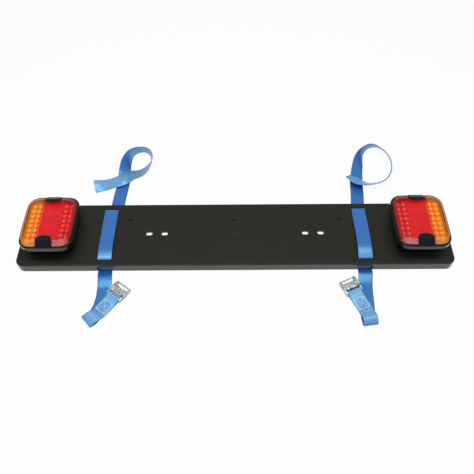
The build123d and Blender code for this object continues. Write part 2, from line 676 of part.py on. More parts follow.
def board_run(side):
    """The webbing up through its front slot, arched over the board, and down through its rear slot."""
    x = strap_middle(side)
    turn, roll = FLAT_ACROSS[side]
    top = STRAP_THICKNESS / 2 + LAYER_GAP
    bend = STRAP_SLOT_Y - STRAP_BEND

    def from_notch(slope):
        points = [(BOARD_WIDTH / 2, STRAP_FLAT), (BOARD_WIDTH / 2 - SKIRT, STRAP_FLAT + STRAP_THICKNESS),
                  (STRAP_SLOT_Y, -2 * SHEET)]
        for step in range(BEND_STEPS + 1):
            angle = math.radians(90 - slope) * step / BEND_STEPS
            height = top - STRAP_BEND + STRAP_BEND * math.sin(angle)
            points.append((bend + STRAP_BEND * math.cos(angle), height))
        return points

    front = [(x, -y, z, turn, roll) for y, z in from_notch(ARCH_SLOPES[side])]
    arch = [(x, y, top + rise, turn, roll) for y, rise in ARCHES[side]]
    drift = STRAP_DRIFT / (BOARD_WIDTH / 2 - STRAP_SLOT_Y)
    rear = [(x + drift * max(0, y - STRAP_SLOT_Y), y, z, turn, roll) for y, z in reversed(from_notch(0))]
    return front, smooth(front, arch, rear), rear


def smooth(before, chosen, after):
    """Stations on a smooth curve through the chosen ones, running on from and into its neighbours."""
    stations = before + chosen + after
    reach = [0.0]
    for a, b in zip(stations, stations[1:]):
        reach.append(reach[-1] + math.dist(a[:3], b[:3]))
    last = len(stations) - 1
    curve = []
    for i in range(len(before) - 1, len(before) + len(chosen) - (0 if after else 1)):
        low = max(i - 1, 0)
        high = min(i + 2, last)
        span = reach[i + 1] - reach[i]
        for step in range(1, SMOOTH_STEPS + 1):
            u = step / SMOOTH_STEPS
            row = []
            for low_value, start, end, high_value in zip(
                    stations[low], stations[i], stations[i + 1], stations[high]):
                slope_in = (end - low_value) / (reach[i + 1] - reach[low]) * span
                slope_out = (high_value - start) / (reach[high] - reach[i]) * span
                row.append((2 * u**3 - 3 * u**2 + 1) * start + (u**3 - 2 * u**2 + u) * slope_in
                           + (3 * u**2 - 2 * u**3) * end + (u**3 - u**2) * slope_out)
            curve.append(tuple(row))
    return curve[:-1] if after else curve


def strap_route(side):
    """Every station of one strap, from the cut end at the buckle to the tail."""
    sewn = sewn_end(side)
    front, arch, rear = board_run(side)
    fold = smooth(sewn, fold_stations(side), front)
    tail = smooth(rear, tail_stations(side), [])
    return sewn + fold + front + arch + rear + tail


def make_strap(side):
    """One length of webbing: a ribbon lofted through its stations, nowhere below the floor."""
    route = strap_route(side)
    middles = [Vector(*station[:3]) for station in route]
    sections = []
    for i, station in enumerate(route):
        along = (middles[min(i + 1, len(route) - 1)] - middles[max(i - 1, 0)]).normalized()
        azimuth = math.radians(station[3])
        elevation = math.radians(station[4])
        flat = math.cos(elevation)
        across = Vector(flat * math.cos(azimuth), flat * math.sin(azimuth), math.sin(elevation))
        across = (across - along * across.dot(along)).normalized() * (STRAP_WIDTH / 2)
        up = across.cross(along).normalized() * (STRAP_THICKNESS / 2)
        lowest = middles[i].Z - abs(across.Z) - abs(up.Z)
        middle = middles[i] + Vector(0, 0, max(0, FLOOR - lowest))
        sections.append(Wire.make_polygon(
            [middle - across - up, middle + across - up, middle + across + up, middle - across + up]))
    return Solid.make_loft(sections, ruled=True)


def buckle_place(side):
    """Where a buckle lies, on its own webbing: its bar is in the sewn loop."""
    bar_x, bar_y = BUCKLES[side]["bar"]
    heading = BUCKLES[side]["heading"]
    reach = BUCKLE_LENGTH / 2 - BUCKLE_BAR_INSET
    middle_x = bar_x + reach * math.cos(math.radians(heading))
    middle_y = bar_y + reach * math.sin(math.radians(heading))
    return Pos(middle_x, middle_y, BUCKLE_BASE) * Rot(0, 0, heading)


def write(name, piece):
    """Writes one node's solids."""
    export_step(piece, os.path.join("parts", name + ".step"))


os.makedirs("parts", exist_ok=True)
write("board", make_board())
write("centre_plug", make_centre_plug())
lamp = make_lamp()
buckle = make_buckle()
for side in ("left", "right"):
    write(f"{side}_strap", make_strap(side))
    for name, piece in lamp.items():
        group = piece if isinstance(piece, list) else [piece]
        placed = [Pos(LAMP_X, LAMP_Y, 0) * item for item in group]
        if side == "left":
            placed = [mirror(item, about=Plane.YZ) for item in placed]
        write(f"{side}_{name}", placed[0] if len(placed) == 1 else Compound(children=placed))
    for name, piece in buckle.items():
        write(f"{side}_{name}", buckle_place(side) * piece)
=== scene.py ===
import json
import logging
import math
from collections.abc import Iterator
from contextlib import contextmanager
from dataclasses import dataclass
from enum import Enum
from functools import cache

import bmesh
import bpy
from mathutils import Matrix, Vector


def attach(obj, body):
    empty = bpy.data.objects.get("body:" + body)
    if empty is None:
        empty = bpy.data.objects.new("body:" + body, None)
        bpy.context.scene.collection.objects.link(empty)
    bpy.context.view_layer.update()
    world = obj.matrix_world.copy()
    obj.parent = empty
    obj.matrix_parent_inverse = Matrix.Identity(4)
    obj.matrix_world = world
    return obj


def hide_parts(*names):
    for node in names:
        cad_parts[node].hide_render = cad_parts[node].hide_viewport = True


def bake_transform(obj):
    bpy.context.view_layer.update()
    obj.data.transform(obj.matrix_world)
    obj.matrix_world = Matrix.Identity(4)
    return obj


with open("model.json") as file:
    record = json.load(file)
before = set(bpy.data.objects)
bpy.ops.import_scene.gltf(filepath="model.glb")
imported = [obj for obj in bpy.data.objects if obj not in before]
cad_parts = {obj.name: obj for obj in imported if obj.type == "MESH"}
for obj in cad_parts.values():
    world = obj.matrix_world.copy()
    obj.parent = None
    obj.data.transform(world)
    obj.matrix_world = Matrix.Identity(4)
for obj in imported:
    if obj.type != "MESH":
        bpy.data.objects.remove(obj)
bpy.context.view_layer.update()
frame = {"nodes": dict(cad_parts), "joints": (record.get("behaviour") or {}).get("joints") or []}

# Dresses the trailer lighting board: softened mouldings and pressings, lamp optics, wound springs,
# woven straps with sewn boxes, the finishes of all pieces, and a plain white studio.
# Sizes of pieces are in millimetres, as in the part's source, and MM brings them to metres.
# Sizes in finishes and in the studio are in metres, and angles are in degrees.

MM = 0.001
ROOT_BODY = "board_assembly"
LOG = logging.getLogger("lighting_board")

Socket = bpy.types.NodeSocket
Colour = tuple[float, float, float]
Point = tuple[float, float, float]
Range = tuple[float, float]
Station = tuple[float, float, float, float, float]
Section = tuple[Vector, Vector, Vector]


class Side(Enum):
    """Which end of the board a piece belongs to."""

    LEFT = "left"
    RIGHT = "right"

    @property
    def sign(self) -> int:
        """-1 for the left end, +1 for the right."""
        return -1 if self is Side.LEFT else 1

    def node(self, piece: str) -> str:
        """The name of a piece, body or joint at this end."""
        return f"{self.value}_{piece}"


# Node trees


class NodeSheet:
    """A node tree with short calls for adding nodes and joining their sockets."""

    def __init__(self, tree: bpy.types.NodeTree) -> None:
        """Keeps the tree of a material, world or group."""
        self.tree = tree

    def feed(self, node: bpy.types.Node, **inputs: object) -> None:
        """Gives a node's inputs their values or source sockets.

        Args:
            node: the node.
            inputs: values or sockets by input name, with _ for a space or an index as i0.
        """
        for name, value in inputs.items():
            is_index = name[0] == "i" and name[1:].isdigit()
            socket = node.inputs[int(name[1:]) if is_index else name.replace("_", " ")]
            if isinstance(value, Socket):
                self.tree.links.new(value, socket)
            else:
                socket.default_value = (*value, 1.0) if socket.type == "RGBA" else value

    def add(self, kind: str, settings: dict | None = None, **inputs: object) -> bpy.types.Node:
        """Adds one node.

        Args:
            kind: the node's type name.
            settings: properties of the node itself.
            inputs: what its inputs get, as feed takes them.

        Returns:
            The new node.
        """
        node = self.tree.nodes.new(kind)
        for name, value in (settings or {}).items():
            setattr(node, name, value)
        self.feed(node, **inputs)
        return node

    def math(self, operation: str, a: object, b: object = 0.0) -> Socket:
        """One arithmetic step on two values or sockets."""
        return self.add("ShaderNodeMath", {"operation": operation}, i0=a, i1=b).outputs[0]

    def product(self, a: object, b: object) -> Socket:
        """Two values or sockets multiplied."""
        return self.math("MULTIPLY", a, b)

    def apart(self, a: object, b: object) -> Socket:
        """How far two values or sockets lie apart."""
        return self.math("ABSOLUTE", self.math("SUBTRACT", a, b))

    def parts(self, vector: Socket) -> bpy.types.NodeOutputs:
        """The X, Y and Z sockets of a vector."""
        return self.add("ShaderNodeSeparateXYZ", None, Vector=vector).outputs

    def noise(self, place: Socket, scale: object, detail: float, roughness: float = 0.5) -> Socket:
        """Cloudy noise from 0 to 1."""
        inputs = {"Vector": place, "Scale": scale, "Detail": detail, "Roughness": roughness}
        return self.add("ShaderNodeTexNoise", None, **inputs).outputs[0]

    def cells(self, place: Socket, scale: float) -> Socket:
        """The distance from the middle of the nearest of many scattered cells."""
        return self.add("ShaderNodeTexVoronoi", None, Vector=place, Scale=scale).outputs[0]

    def blend(self, factor: object, low: object, high: object) -> Socket:
        """A mix of two colours or colour sockets."""
        return self.add("ShaderNodeMix", {"data_type": "RGBA"}, i0=factor, i6=low, i7=high).outputs[2]

    def spread(self, value: object, low: float, high: float, start: float = 0.0, end: float = 1.0) -> Socket:
        """A value from start to end mapped in a straight line to the range from low to high."""
        return self.add("ShaderNodeMapRange", None, i0=value, i1=start, i2=end, i3=low, i4=high).outputs[0]

    def ramp(self, value: object, start: float, end: float, top: float = 1.0) -> Socket:
        """A smooth rise from 0 where the value is start to top where it is end."""
        settings = {"interpolation_type": "SMOOTHSTEP"}
        return self.add("ShaderNodeMapRange", settings, i0=value, i1=start, i2=end, i4=top).outputs[0]


class GroupSheet(NodeSheet):
    """A new shared shader node group, with its inputs and outputs."""

    def __init__(self, name: str, inputs: dict[str, float | None], outputs: list[str]) -> None:
        """Starts the group.

        Args:
            name: the group's name.
            inputs: the default of each value input, or None for a vector.
            outputs: names of its value outputs.
        """
        super().__init__(bpy.data.node_groups.new(name, "ShaderNodeTree"))
        for label, default in inputs.items():
            kind = "NodeSocketVector" if default is None else "NodeSocketFloat"
            socket = self.tree.interface.new_socket(label, in_out="INPUT", socket_type=kind)
            if default is not None:
                socket.default_value = default
        for label in outputs:
            self.tree.interface.new_socket(label, in_out="OUTPUT", socket_type="NodeSocketFloat")
        self.into = self.add("NodeGroupInput").outputs[:len(inputs)]
        self.out = self.add("NodeGroupOutput")


@dataclass(frozen=True)
class GrainPattern:
    """Fine moulded grain with handling marks and dust, from Object coordinates."""

    grain: float = 900.0
    mark_turn: float = 40.107
    mark_stretch: Point = (14.0, 260.0, 60.0)
    mark_floor: float = 0.66
    mark_gain: float = 6.0
    dust_scale: float = 16.0
    dust_roughness: float = 0.65
    dust_range: Range = (-0.6, 1.5)

    def tree(self) -> bpy.types.NodeTree:
        """Builds the shared group.

        Returns:
            The group, with Height, Marks and Dust outputs.
        """
        inputs = {"Place": None, "Grain": self.grain}
        sheet = GroupSheet("moulded grain", inputs, ["Height", "Marks", "Dust"])
        place, grain = sheet.into
        turn = (0.0, 0.0, math.radians(self.mark_turn))
        turned = sheet.add("ShaderNodeMapping", None, Vector=place, Rotation=turn, Scale=self.mark_stretch)
        marks = sheet.noise(turned.outputs[0], 1.0, detail=3.0)
        thin = sheet.math("MAXIMUM", sheet.math("SUBTRACT", marks, self.mark_floor), 0.0)
        dust = sheet.noise(place, self.dust_scale, detail=5.0, roughness=self.dust_roughness)
        sheet.feed(
            sheet.out, Height=sheet.noise(place, grain, detail=2.0),
            Marks=sheet.product(thin, self.mark_gain), Dust=sheet.spread(dust, *self.dust_range))
        return sheet.tree


@dataclass(frozen=True)
class WeavePattern:
    """Herringbone webbing from a UV map whose U runs across and V along, both in strap widths."""

    cords: float = 22.0
    picks: float = 17.0
    chevron: float = 5.5
    slant: float = 0.5
    cord_power: float = 0.6
    pick_power: float = 0.5
    fibre: float = 90.0
    fibre_range: Range = (0.75, 1.2)
    edge: Range = (0.44, 0.49)

    def tree(self) -> bpy.types.NodeTree:
        """Builds the shared group.

        Returns:
            The group, with Height, Thread and Edge outputs.
        """
        inputs = {"UV": None, "Cords": self.cords, "Picks": self.picks}
        sheet = GroupSheet("webbing weave", inputs, ["Height", "Thread", "Edge"])
        uv, cords, picks = sheet.into
        u, v, _ = sheet.parts(uv)
        across, along = sheet.product(u, cords), sheet.product(v, picks)
        twill = sheet.math("PINGPONG", across, self.chevron)
        slanted = sheet.math("ADD", along, sheet.product(twill, self.slant))
        ridges = []
        for run, power in ((across, self.cord_power), (slanted, self.pick_power)):
            wave = sheet.math("SINE", sheet.product(run, math.pi))
            ridges.append(sheet.math("POWER", sheet.math("ABSOLUTE", wave), power))
        height = sheet.product(*ridges)
        fibre = sheet.spread(sheet.noise(uv, self.fibre, detail=2.0), *self.fibre_range)
        edge = sheet.ramp(sheet.apart(u, 0.5), *self.edge)
        sheet.feed(sheet.out, Height=height, Thread=sheet.product(height, fibre), Edge=edge)
        return sheet.tree


GRAIN = GrainPattern().tree()
WEAVE = WeavePattern().tree()


class Surface(NodeSheet):
    """A new node material, with its Principled node and texture coordinates."""

    bump_strength = 0.6

    def __init__(self, name: str, colour: Colour) -> None:
        """Starts the material in one plain colour.

        Args:
            name: the material's name.
            colour: the plain colour.
        """
        self.material = bpy.data.materials.new(name)
        self.material.use_nodes = True
        self.material.diffuse_color = (*colour, 1.0)
        super().__init__(self.material.node_tree)
        self.shader = self.tree.nodes["Principled BSDF"]
        self.show(Base_Color=colour)
        coordinates = self.add("ShaderNodeTexCoord").outputs
        self.place, self.normal = coordinates["Object"], coordinates["Normal"]

    def show(self, **inputs: object) -> None:
        """Gives the Principled node values or sockets by input name."""
        self.feed(self.shader, **inputs)

    def bump(self, height: Socket, depth: float) -> None:
        """Feeds a height to the shader's Normal, as a relief of that depth."""
        node = self.add("ShaderNodeBump", None, Height=height, Distance=depth, Strength=self.bump_strength)
        self.show(Normal=node.outputs[0])


# Finishes


def darker(colour: Colour, share: float) -> Colour:
    """That share of a colour."""
    return tuple(value * share for value in colour)


@dataclass(frozen=True)
class Finish:
    """What every finish has: a name, the colour it is written in and a material that is built once."""

    name: str
    colour: Colour

    @cache
    def material(self) -> bpy.types.Material:
        """Builds the node material at the first call.

        Returns:
            The material, which is the same one at every call.
        """
        surface = Surface(self.name, self.colour)
        self.dress(surface)
        return surface.material

    def dress(self, surface: Surface) -> None:
        """Adds what sets the finish apart from a plain colour."""
        raise NotImplementedError


@dataclass(frozen=True)
class Moulding(Finish):
    """Moulded plastic or rubber with grain, faint handling marks, dust and polished upright faces."""

    roughness: float = 0.5
    roughness_range: Range = (0.9, 1.12)
    grain: float = 900.0
    relief: float = 0.0002
    marked: Colour = (0.08, 0.08, 0.08)
    marks: float = 0.3
    dust: float = 0.12
    polish: float = 0.0
    polish_roughness: float = 0.2
    specular: float = 0.5

    def dress(self, surface: Surface) -> None:
        """Adds grain, marks, dust and polish.

        Args:
            surface: the new material.
        """
        group = surface.add("ShaderNodeGroup", {"node_tree": GRAIN}, Place=surface.place, Grain=self.grain)
        height, marks, dust = group.outputs
        worn = surface.product(marks, self.marks)
        shade = surface.math("MAXIMUM", worn, surface.product(dust, self.dust * self.marks))
        level = surface.math("ABSOLUTE", surface.parts(surface.normal)[2])
        clean, dusty = (self.roughness * share for share in self.roughness_range)
        surface.show(
            Base_Color=surface.blend(shade, self.colour, self.marked),
            Roughness=surface.spread(dust, clean, dusty),
            Coat_Weight=surface.spread(level, self.polish, 0.0),
            Coat_Roughness=self.polish_roughness, Specular_IOR_Level=self.specular)
        surface.bump(height, self.relief)


@dataclass(frozen=True)
class LensPlastic(Finish):
    """Clear coloured lens plastic: faint prism cells, painted highlight on front faces, dark edge where it
    sits in the rim.

    front and bevel are values of the normal, along Y and Z, where those faces begin and end.
    """

    deep: float = 0.72
    cloud: float = 45.0
    cloud_range: Range = (-0.3, 1.3)
    prism: float = 420.0
    prism_relief: float = 0.00002
    mottle: float = 0.0
    front: Range = (-0.3, -0.5)
    # painted highlight: pale is the colour that faces turned to the front are tinted with
    pale: Colour = (1.0, 0.46, 0.42)
    painted_highlight_share: float = 0.6
    bevel: Range = (0.97, 0.85)
    bevel_opacity: float = 0.6
    opacity: float = 0.2
    edge: Colour = (0.003, 0.002, 0.002)
    edge_top: float = 0.0395
    edge_blur: float = 0.0002
    # painted glow: the lens plastic gives off a little light though it is no lamp
    glow: float = 0.0
    roughness: float = 0.1
    specular: float = 0.25

    def dress(self, surface: Surface) -> None:
        """Adds cloud, prism cells, a painted highlight on the front faces, thicker bevels and the dark edge.

        Args:
            surface: the new material.
        """
        deep = darker(self.colour, self.deep)
        cells = surface.cells(surface.place, self.prism)
        cloud = surface.spread(surface.noise(surface.place, self.cloud, detail=3.0), *self.cloud_range)
        plain = surface.blend(cloud, deep, self.colour)
        mottled = surface.blend(surface.product(cells, self.mottle), plain, deep)
        _, lean, level = surface.parts(surface.normal)
        height = surface.parts(surface.place)[2]
        low = surface.ramp(height, self.edge_top + self.edge_blur, self.edge_top - self.edge_blur)
        seated = surface.product(low, surface.ramp(lean, *reversed(self.front)))
        tint = surface.blend(seated, mottled, self.edge)
        # painted highlight: faces turned to the front are tinted pale, as if lit from the front
        front = surface.spread(lean, 0.0, self.painted_highlight_share, *self.front)
        thick = max(self.opacity, self.bevel_opacity)
        opacity = surface.spread(surface.math("ABSOLUTE", level), self.opacity, thick, *self.bevel)
        surface.show(
            Base_Color=surface.blend(front, tint, self.pale), Emission_Color=tint,
            Emission_Strength=self.glow, Alpha=surface.math("MAXIMUM", opacity, seated),
            Roughness=self.roughness, Specular_IOR_Level=self.specular)
        surface.bump(cells, self.prism_relief)


@dataclass(frozen=True)
class LampInside(Finish):
    """Lamp inside in its lens's colour: red inboard, amber outboard, with painted shade between the LED
    cups.
    """

    amber: Colour = (1.0, 0.36, 0.015)
    # painted shade colours for the flat top between the LED cups
    red_painted_shade: Colour = (0.22, 0.002, 0.004)
    amber_painted_shade: Colour = (0.40, 0.08, 0.002)
    split: float = 0.3568
    middle: float = 0.3388
    array: float = 0.0185
    top: float = 0.03405
    cloud: float = 190.0
    cloud_range: Range = (0.5, 1.1)
    relief: float = 0.0003
    roughness: float = 0.35
    # painted glow: the reflector gives off a little light though it is no lamp
    glow: float = 0.15

    def dress(self, surface: Surface) -> None:
        """Adds the two colours and the painted shade between the cups.

        Args:
            surface: the new material.
        """
        x, _, z = surface.parts(surface.place)
        away = surface.math("ABSOLUTE", x)
        outboard = surface.math("GREATER_THAN", away, self.split)
        base = surface.blend(outboard, self.colour, self.amber)
        # painted shade: the flat top between the LED cups is darkened
        shade = surface.blend(outboard, self.red_painted_shade, self.amber_painted_shade)
        in_array = surface.math("GREATER_THAN", surface.apart(away, self.middle), self.array)
        between = surface.product(in_array, surface.math("GREATER_THAN", z, self.top))
        cloud = surface.noise(surface.place, self.cloud, detail=2.0)
        share = surface.product(between, surface.spread(cloud, *self.cloud_range))
        tint = surface.blend(share, base, shade)
        surface.show(
            Base_Color=tint, Emission_Color=tint, Emission_Strength=self.glow, Roughness=self.roughness)
        surface.bump(cloud, self.relief)


@dataclass(frozen=True)
class LedDome(Finish):
    """Cast LED resin with a pale core that glows a little."""

    core: Colour = (1.0, 0.6, 0.5)
    cloud: float = 320.0
    cloud_range: Range = (-0.2, 1.2)
    roughness: float = 0.15
    glow: float = 0.25

    def dress(self, surface: Surface) -> None:
        """Adds the core and its glow.

        Args:
            surface: the new material.
        """
        cloud = surface.spread(surface.noise(surface.place, self.cloud, detail=1.0), *self.cloud_range)
        tint = surface.blend(cloud, self.colour, self.core)
        surface.show(
            Base_Color=tint, Emission_Color=tint, Emission_Strength=self.glow, Roughness=self.roughness)


@dataclass(frozen=True)
class PlatedSteel(Finish):
    """Zinc plated steel: cloudy spangle and dull flakes."""

    dull: float = 0.3
    spangle: float = 240.0
    spangle_range: Range = (-1.2, 2.2)
    flakes: float = 1.6
    relief: float = 0.00015
    roughness: float = 0.28
    roughness_range: Range = (0.75, 1.5)

    def dress(self, surface: Surface) -> None:
        """Adds spangle and flakes.

        Args:
            surface: the new material.
        """
        cloud = surface.noise(surface.place, self.spangle, detail=4.0)
        flakes = surface.cells(surface.place, self.spangle * self.flakes)
        shade = surface.spread(cloud, *self.spangle_range)
        bright, dull = (self.roughness * share for share in self.roughness_range)
        surface.show(
            Base_Color=surface.blend(shade, darker(self.colour, self.dull), self.colour),
            Roughness=surface.spread(flakes, bright, dull), Metallic=1.0)
        surface.bump(cloud, self.relief)


@dataclass(frozen=True)
class WovenWebbing(Finish):
    """Satin webbing: herringbone cords, darker edges, painted sheen on both ends, a patch drawn in by the
    sewn box, a painted highlight on the bend at the front slot and a painted shadow in each notch.

    Places along and across the webbing are in strap widths. Each pair is where a mark begins and is full.
    """

    bright: Colour = (0.024, 0.135, 0.5)
    edge: Colour = (0.01, 0.03, 0.24)
    edge_share: float = 0.4
    # painted sheen: the paler colour laid on both ends and on the bend into the front slot
    painted_sheen: Colour = (0.3, 0.58, 0.88)
    sewn_end: Range = (5.0, 4.2)
    sewn_share: float = 0.6
    tail_end: Range = (9.2, 7.6)
    tail_share: float = 0.5
    drawn_in: Colour = (0.06, 0.19, 0.52)
    drawn_share: float = 0.75
    box_middle: float = 0.49
    box_across: Range = (0.36, 0.3)
    box_along: Range = (0.42, 0.36)
    # painted shadow: the webbing inside each notch, under the board's edge, is darkened
    notch_shadow: Colour = (0.01, 0.014, 0.022)
    notch_shadow_share: float = 0.7
    notch_inner: Range = (0.062, 0.064)
    notch_outer: Range = (0.072, 0.07)
    bend: Range = (-0.038, -0.056)
    bend_share: float = 0.34
    board_skin: float = -0.002
    gloss: Colour = (0.34, 0.86, 1.0)
    refraction: float = 1.58
    roughness_range: Range = (0.4, 0.28)
    relief: float = 0.00006

    def dress(self, surface: Surface) -> None:
        """Adds the weave and the marks of sewing, bending and wear.

        Args:
            surface: the new material.
        """
        from_cut, from_tail = (
            surface.add("ShaderNodeUVMap", {"uv_map": name}).outputs[0] for name in ("strap", "tail"))
        height, thread, edge = surface.add("ShaderNodeGroup", {"node_tree": WEAVE}, UV=from_cut).outputs
        across, along, _ = surface.parts(from_cut)
        sewn = surface.ramp(along, *self.sewn_end, self.sewn_share)
        tail = surface.ramp(surface.parts(from_tail)[1], *self.tail_end, self.tail_share)
        aside = surface.ramp(surface.apart(across, 0.5), *self.box_across)
        in_box = surface.product(aside, surface.ramp(surface.apart(along, self.box_middle), *self.box_along))
        _, y, z = surface.parts(surface.place)
        reach = surface.math("ABSOLUTE", y)
        band = surface.product(
            surface.ramp(reach, *self.notch_inner), surface.ramp(reach, *self.notch_outer))
        # painted shadow in the notches, below the board's top
        in_notch = surface.product(band, surface.ramp(z, 0.0, self.board_skin, self.notch_shadow_share))
        on_board = surface.ramp(z, self.board_skin, 0.0, self.bend_share)
        tint = surface.blend(thread, self.colour, self.bright)
        for share, colour in (
                # painted sheen on both ends
                (surface.math("MAXIMUM", sewn, tail), self.painted_sheen),
                (surface.product(in_box, self.drawn_share), self.drawn_in),
                # darker along both long edges of the webbing
                (surface.product(edge, self.edge_share), self.edge),
                # painted highlight on the bend into the front slot, on the board's top only
                (surface.product(surface.ramp(y, *self.bend), on_board), self.painted_sheen),
                (in_notch, self.notch_shadow)):
            tint = surface.blend(share, tint, colour)
        surface.show(
            Base_Color=tint, Roughness=surface.spread(height, *self.roughness_range), IOR=self.refraction,
            Specular_Tint=self.gloss, Specular_IOR_Level=1.0)
        surface.bump(height, self.relief)


@dataclass(frozen=True)
class SewingThread(Finish):
    """Twisted polyester thread."""

    dark: float = 0.85
    ply: float = 1800.0
    relief: float = 0.0002
    roughness: float = 0.55

    def dress(self, surface: Surface) -> None:
        """Adds the plies.

        Args:
            surface: the new material.
        """
        ply = surface.noise(surface.place, self.ply, detail=1.0)
        tint = surface.blend(ply, darker(self.colour, self.dark), self.colour)
        surface.show(Base_Color=tint, Roughness=self.roughness)
        surface.bump(ply, self.relief)


BOARD_PLASTIC = Moulding(
    "board plastic", (0.018, 0.0187, 0.0145), marks=0.15, polish=1.0, specular=0.1)
HOUSING_PLASTIC = Moulding(
    "housing plastic", (0.004, 0.004, 0.005), roughness=0.24, relief=0.00005, marks=0.06, polish=0.8,
    specular=0.1)
CLIP_PLASTIC = Moulding(
    "clip plastic", (0.006, 0.007, 0.0075), roughness=0.36, relief=0.0001, marks=0.12, specular=0.1)
PLUG_RUBBER = Moulding("plug rubber", (0.012, 0.012, 0.011), roughness=0.62, marks=0.2, specular=0.25)
GASKET_RUBBER = Moulding("gasket rubber", (0.02, 0.02, 0.02), roughness=0.7, marks=0.1)
CIRCUIT_BOARD = Moulding("circuit board", (0.7, 0.7, 0.68), roughness=0.4, marked=(0.5, 0.5, 0.48))
CELL_WRAP = Moulding("cell wrap", (0.1, 0.22, 0.45), roughness=0.3, marked=(0.2, 0.3, 0.5))
# Each lens's pale is a painted highlight on its front faces.
RED_LENS = LensPlastic("red lens", (0.70, 0.008, 0.014))
# painted glow: the amber lens glows a little though it is no lamp
AMBER_LENS = LensPlastic("amber lens", (1.0, 0.3, 0.01), pale=(1.0, 0.5, 0.14), glow=0.12)
# painted glow: the reflector prism glows though it is no lamp
RETRO_RED = LensPlastic(
    "red reflector prism", (1.0, 0.016, 0.024), opacity=1.0, prism=230.0, glow=0.28, mottle=1.6,
    edge_top=0.0)
LAMP_INSIDE = LampInside("lamp reflector", (0.95, 0.012, 0.02))
RED_DOME = LedDome("red LED resin", (0.95, 0.04, 0.04), core=(1.0, 0.2, 0.17))
AMBER_DOME = LedDome("amber LED resin", (1.0, 0.38, 0.03), core=(1.0, 0.62, 0.14))
BUCKLE_STEEL = PlatedSteel("plated steel", (0.6, 0.67, 0.69), roughness=0.26)
SPRING_STEEL = PlatedSteel("spring wire", (0.45, 0.45, 0.47), roughness=0.3)
WEBBING = WovenWebbing("blue webbing", (0.01, 0.06, 0.34))
THREAD = SewingThread("sewing thread", (0.78, 0.92, 1.0))


# Mesh helpers


WELD = 0.005 * MM
FLAT_ANGLE = 0.6
ROUNDED_ANGLE = 32.0
CAD_SMOOTH_ANGLE = 38.0
SMOOTH_ANGLE = 40.0
LARGE_FACE_WEIGHT = 90


def deselect() -> None:
    """Deselects every object."""
    bpy.ops.object.select_all(action="DESELECT")


def only(obj: bpy.types.Object) -> None:
    """Makes one object the only selected and the active one.

    Args:
        obj: the object.
    """
    deselect()
    obj.select_set(True)
    bpy.context.view_layer.objects.active = obj


def add_object(name: str, data: bpy.types.ID) -> bpy.types.Object:
    """Adds an object to the scene.

    Args:
        name: the object's name.
        data: its mesh, light or camera.

    Returns:
        The object, which is the only one selected.
    """
    obj = bpy.data.objects.new(name, data)
    bpy.context.scene.collection.objects.link(obj)
    only(obj)
    return obj


@contextmanager
def editing() -> Iterator[None]:
    """Edit mode on the active object with all of its mesh selected, then object mode again."""
    bpy.ops.object.mode_set(mode="EDIT")
    bpy.ops.mesh.select_all(action="SELECT")
    yield
    bpy.ops.object.mode_set(mode="OBJECT")


def shade_smooth(angle: float) -> None:
    """Smooths the active object where its faces meet at less than the angle."""
    bpy.ops.object.shade_smooth_by_angle(angle=math.radians(angle))


def apply_modifiers(obj: bpy.types.Object) -> None:
    """Applies every modifier of an object in order.

    Args:
        obj: the object.
    """
    only(obj)
    for name in [modifier.name for modifier in obj.modifiers]:
        bpy.ops.object.modifier_apply(modifier=name)


def paint(obj: bpy.types.Object, finish: Finish) -> None:
    """Gives an object one finish all over."""
    obj.data.materials.clear()
    obj.data.materials.append(finish.material())


def place_piece(obj: bpy.types.Object, finish: Finish, body: str, slot: str, *nodes: str) -> None:
    """Paints a piece, puts it on the body it rides on and hides the CAD nodes that it stands for.

    Args:
        obj: the piece.
        finish: its finish.
        body: the body it rides on.
        slot: not used.
        nodes: the CAD nodes that it stands for.
    """
    paint(obj, finish)
    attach(obj, body)
    if nodes:
        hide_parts(*nodes)
    LOG.info("piece %s on %s, %d faces", obj.name, body, len(obj.data.polygons))


def softened(node: str, edge: float, segments: int, finish: Finish, body: str, slot: str) -> None:
    """Puts a copy of a CAD node in its place, with hard edges rounded and curves smooth.

    Args:
        node: the CAD node's name.
        edge: width of the rounding.
        segments: how many faces go round each edge.
        finish: the copy's finish.
        body: the body it rides on.
        slot: passed on to place_piece.
    """
    piece = add_object(f"{node}_softened", frame["nodes"][node].data.copy())
    with editing():
        bpy.ops.mesh.remove_doubles(threshold=WELD)
        bpy.ops.mesh.dissolve_limited(angle_limit=math.radians(FLAT_ANGLE))
    rounding = piece.modifiers.new("rounding", "BEVEL")
    rounding.width = edge * MM
    rounding.segments = segments
    rounding.limit_method = "ANGLE"
    rounding.angle_limit = math.radians(ROUNDED_ANGLE)
    rounding.use_clamp_overlap = True
    apply_modifiers(piece)
    shade_smooth(CAD_SMOOTH_ANGLE)
    shading = piece.modifiers.new("shading", "WEIGHTED_NORMAL")
    shading.keep_sharp = True
    shading.weight = LARGE_FACE_WEIGHT
    apply_modifiers(piece)
    place_piece(piece, finish, body, slot, node)


def scattered(unit: bpy.types.Object, name: str, places: list[Matrix]) -> bpy.types.Object:
    """Copies of one small piece as a single object.

    Args:
        unit: the piece, at the origin; it is removed.
        name: the new object's name.
        places: where each copy goes.

    Returns:
        The object that holds all the copies.
    """
    gathered = bmesh.new()
    for place in places:
        copy = unit.data.copy()
        copy.transform(place)
        gathered.from_mesh(copy)
        bpy.data.meshes.remove(copy)
    mesh = bpy.data.meshes.new(name)
    gathered.to_mesh(mesh)
    gathered.free()
    bpy.data.objects.remove(unit)
    piece = add_object(name, mesh)
    shade_smooth(SMOOTH_ANGLE)
    return piece


# Sub-assemblies


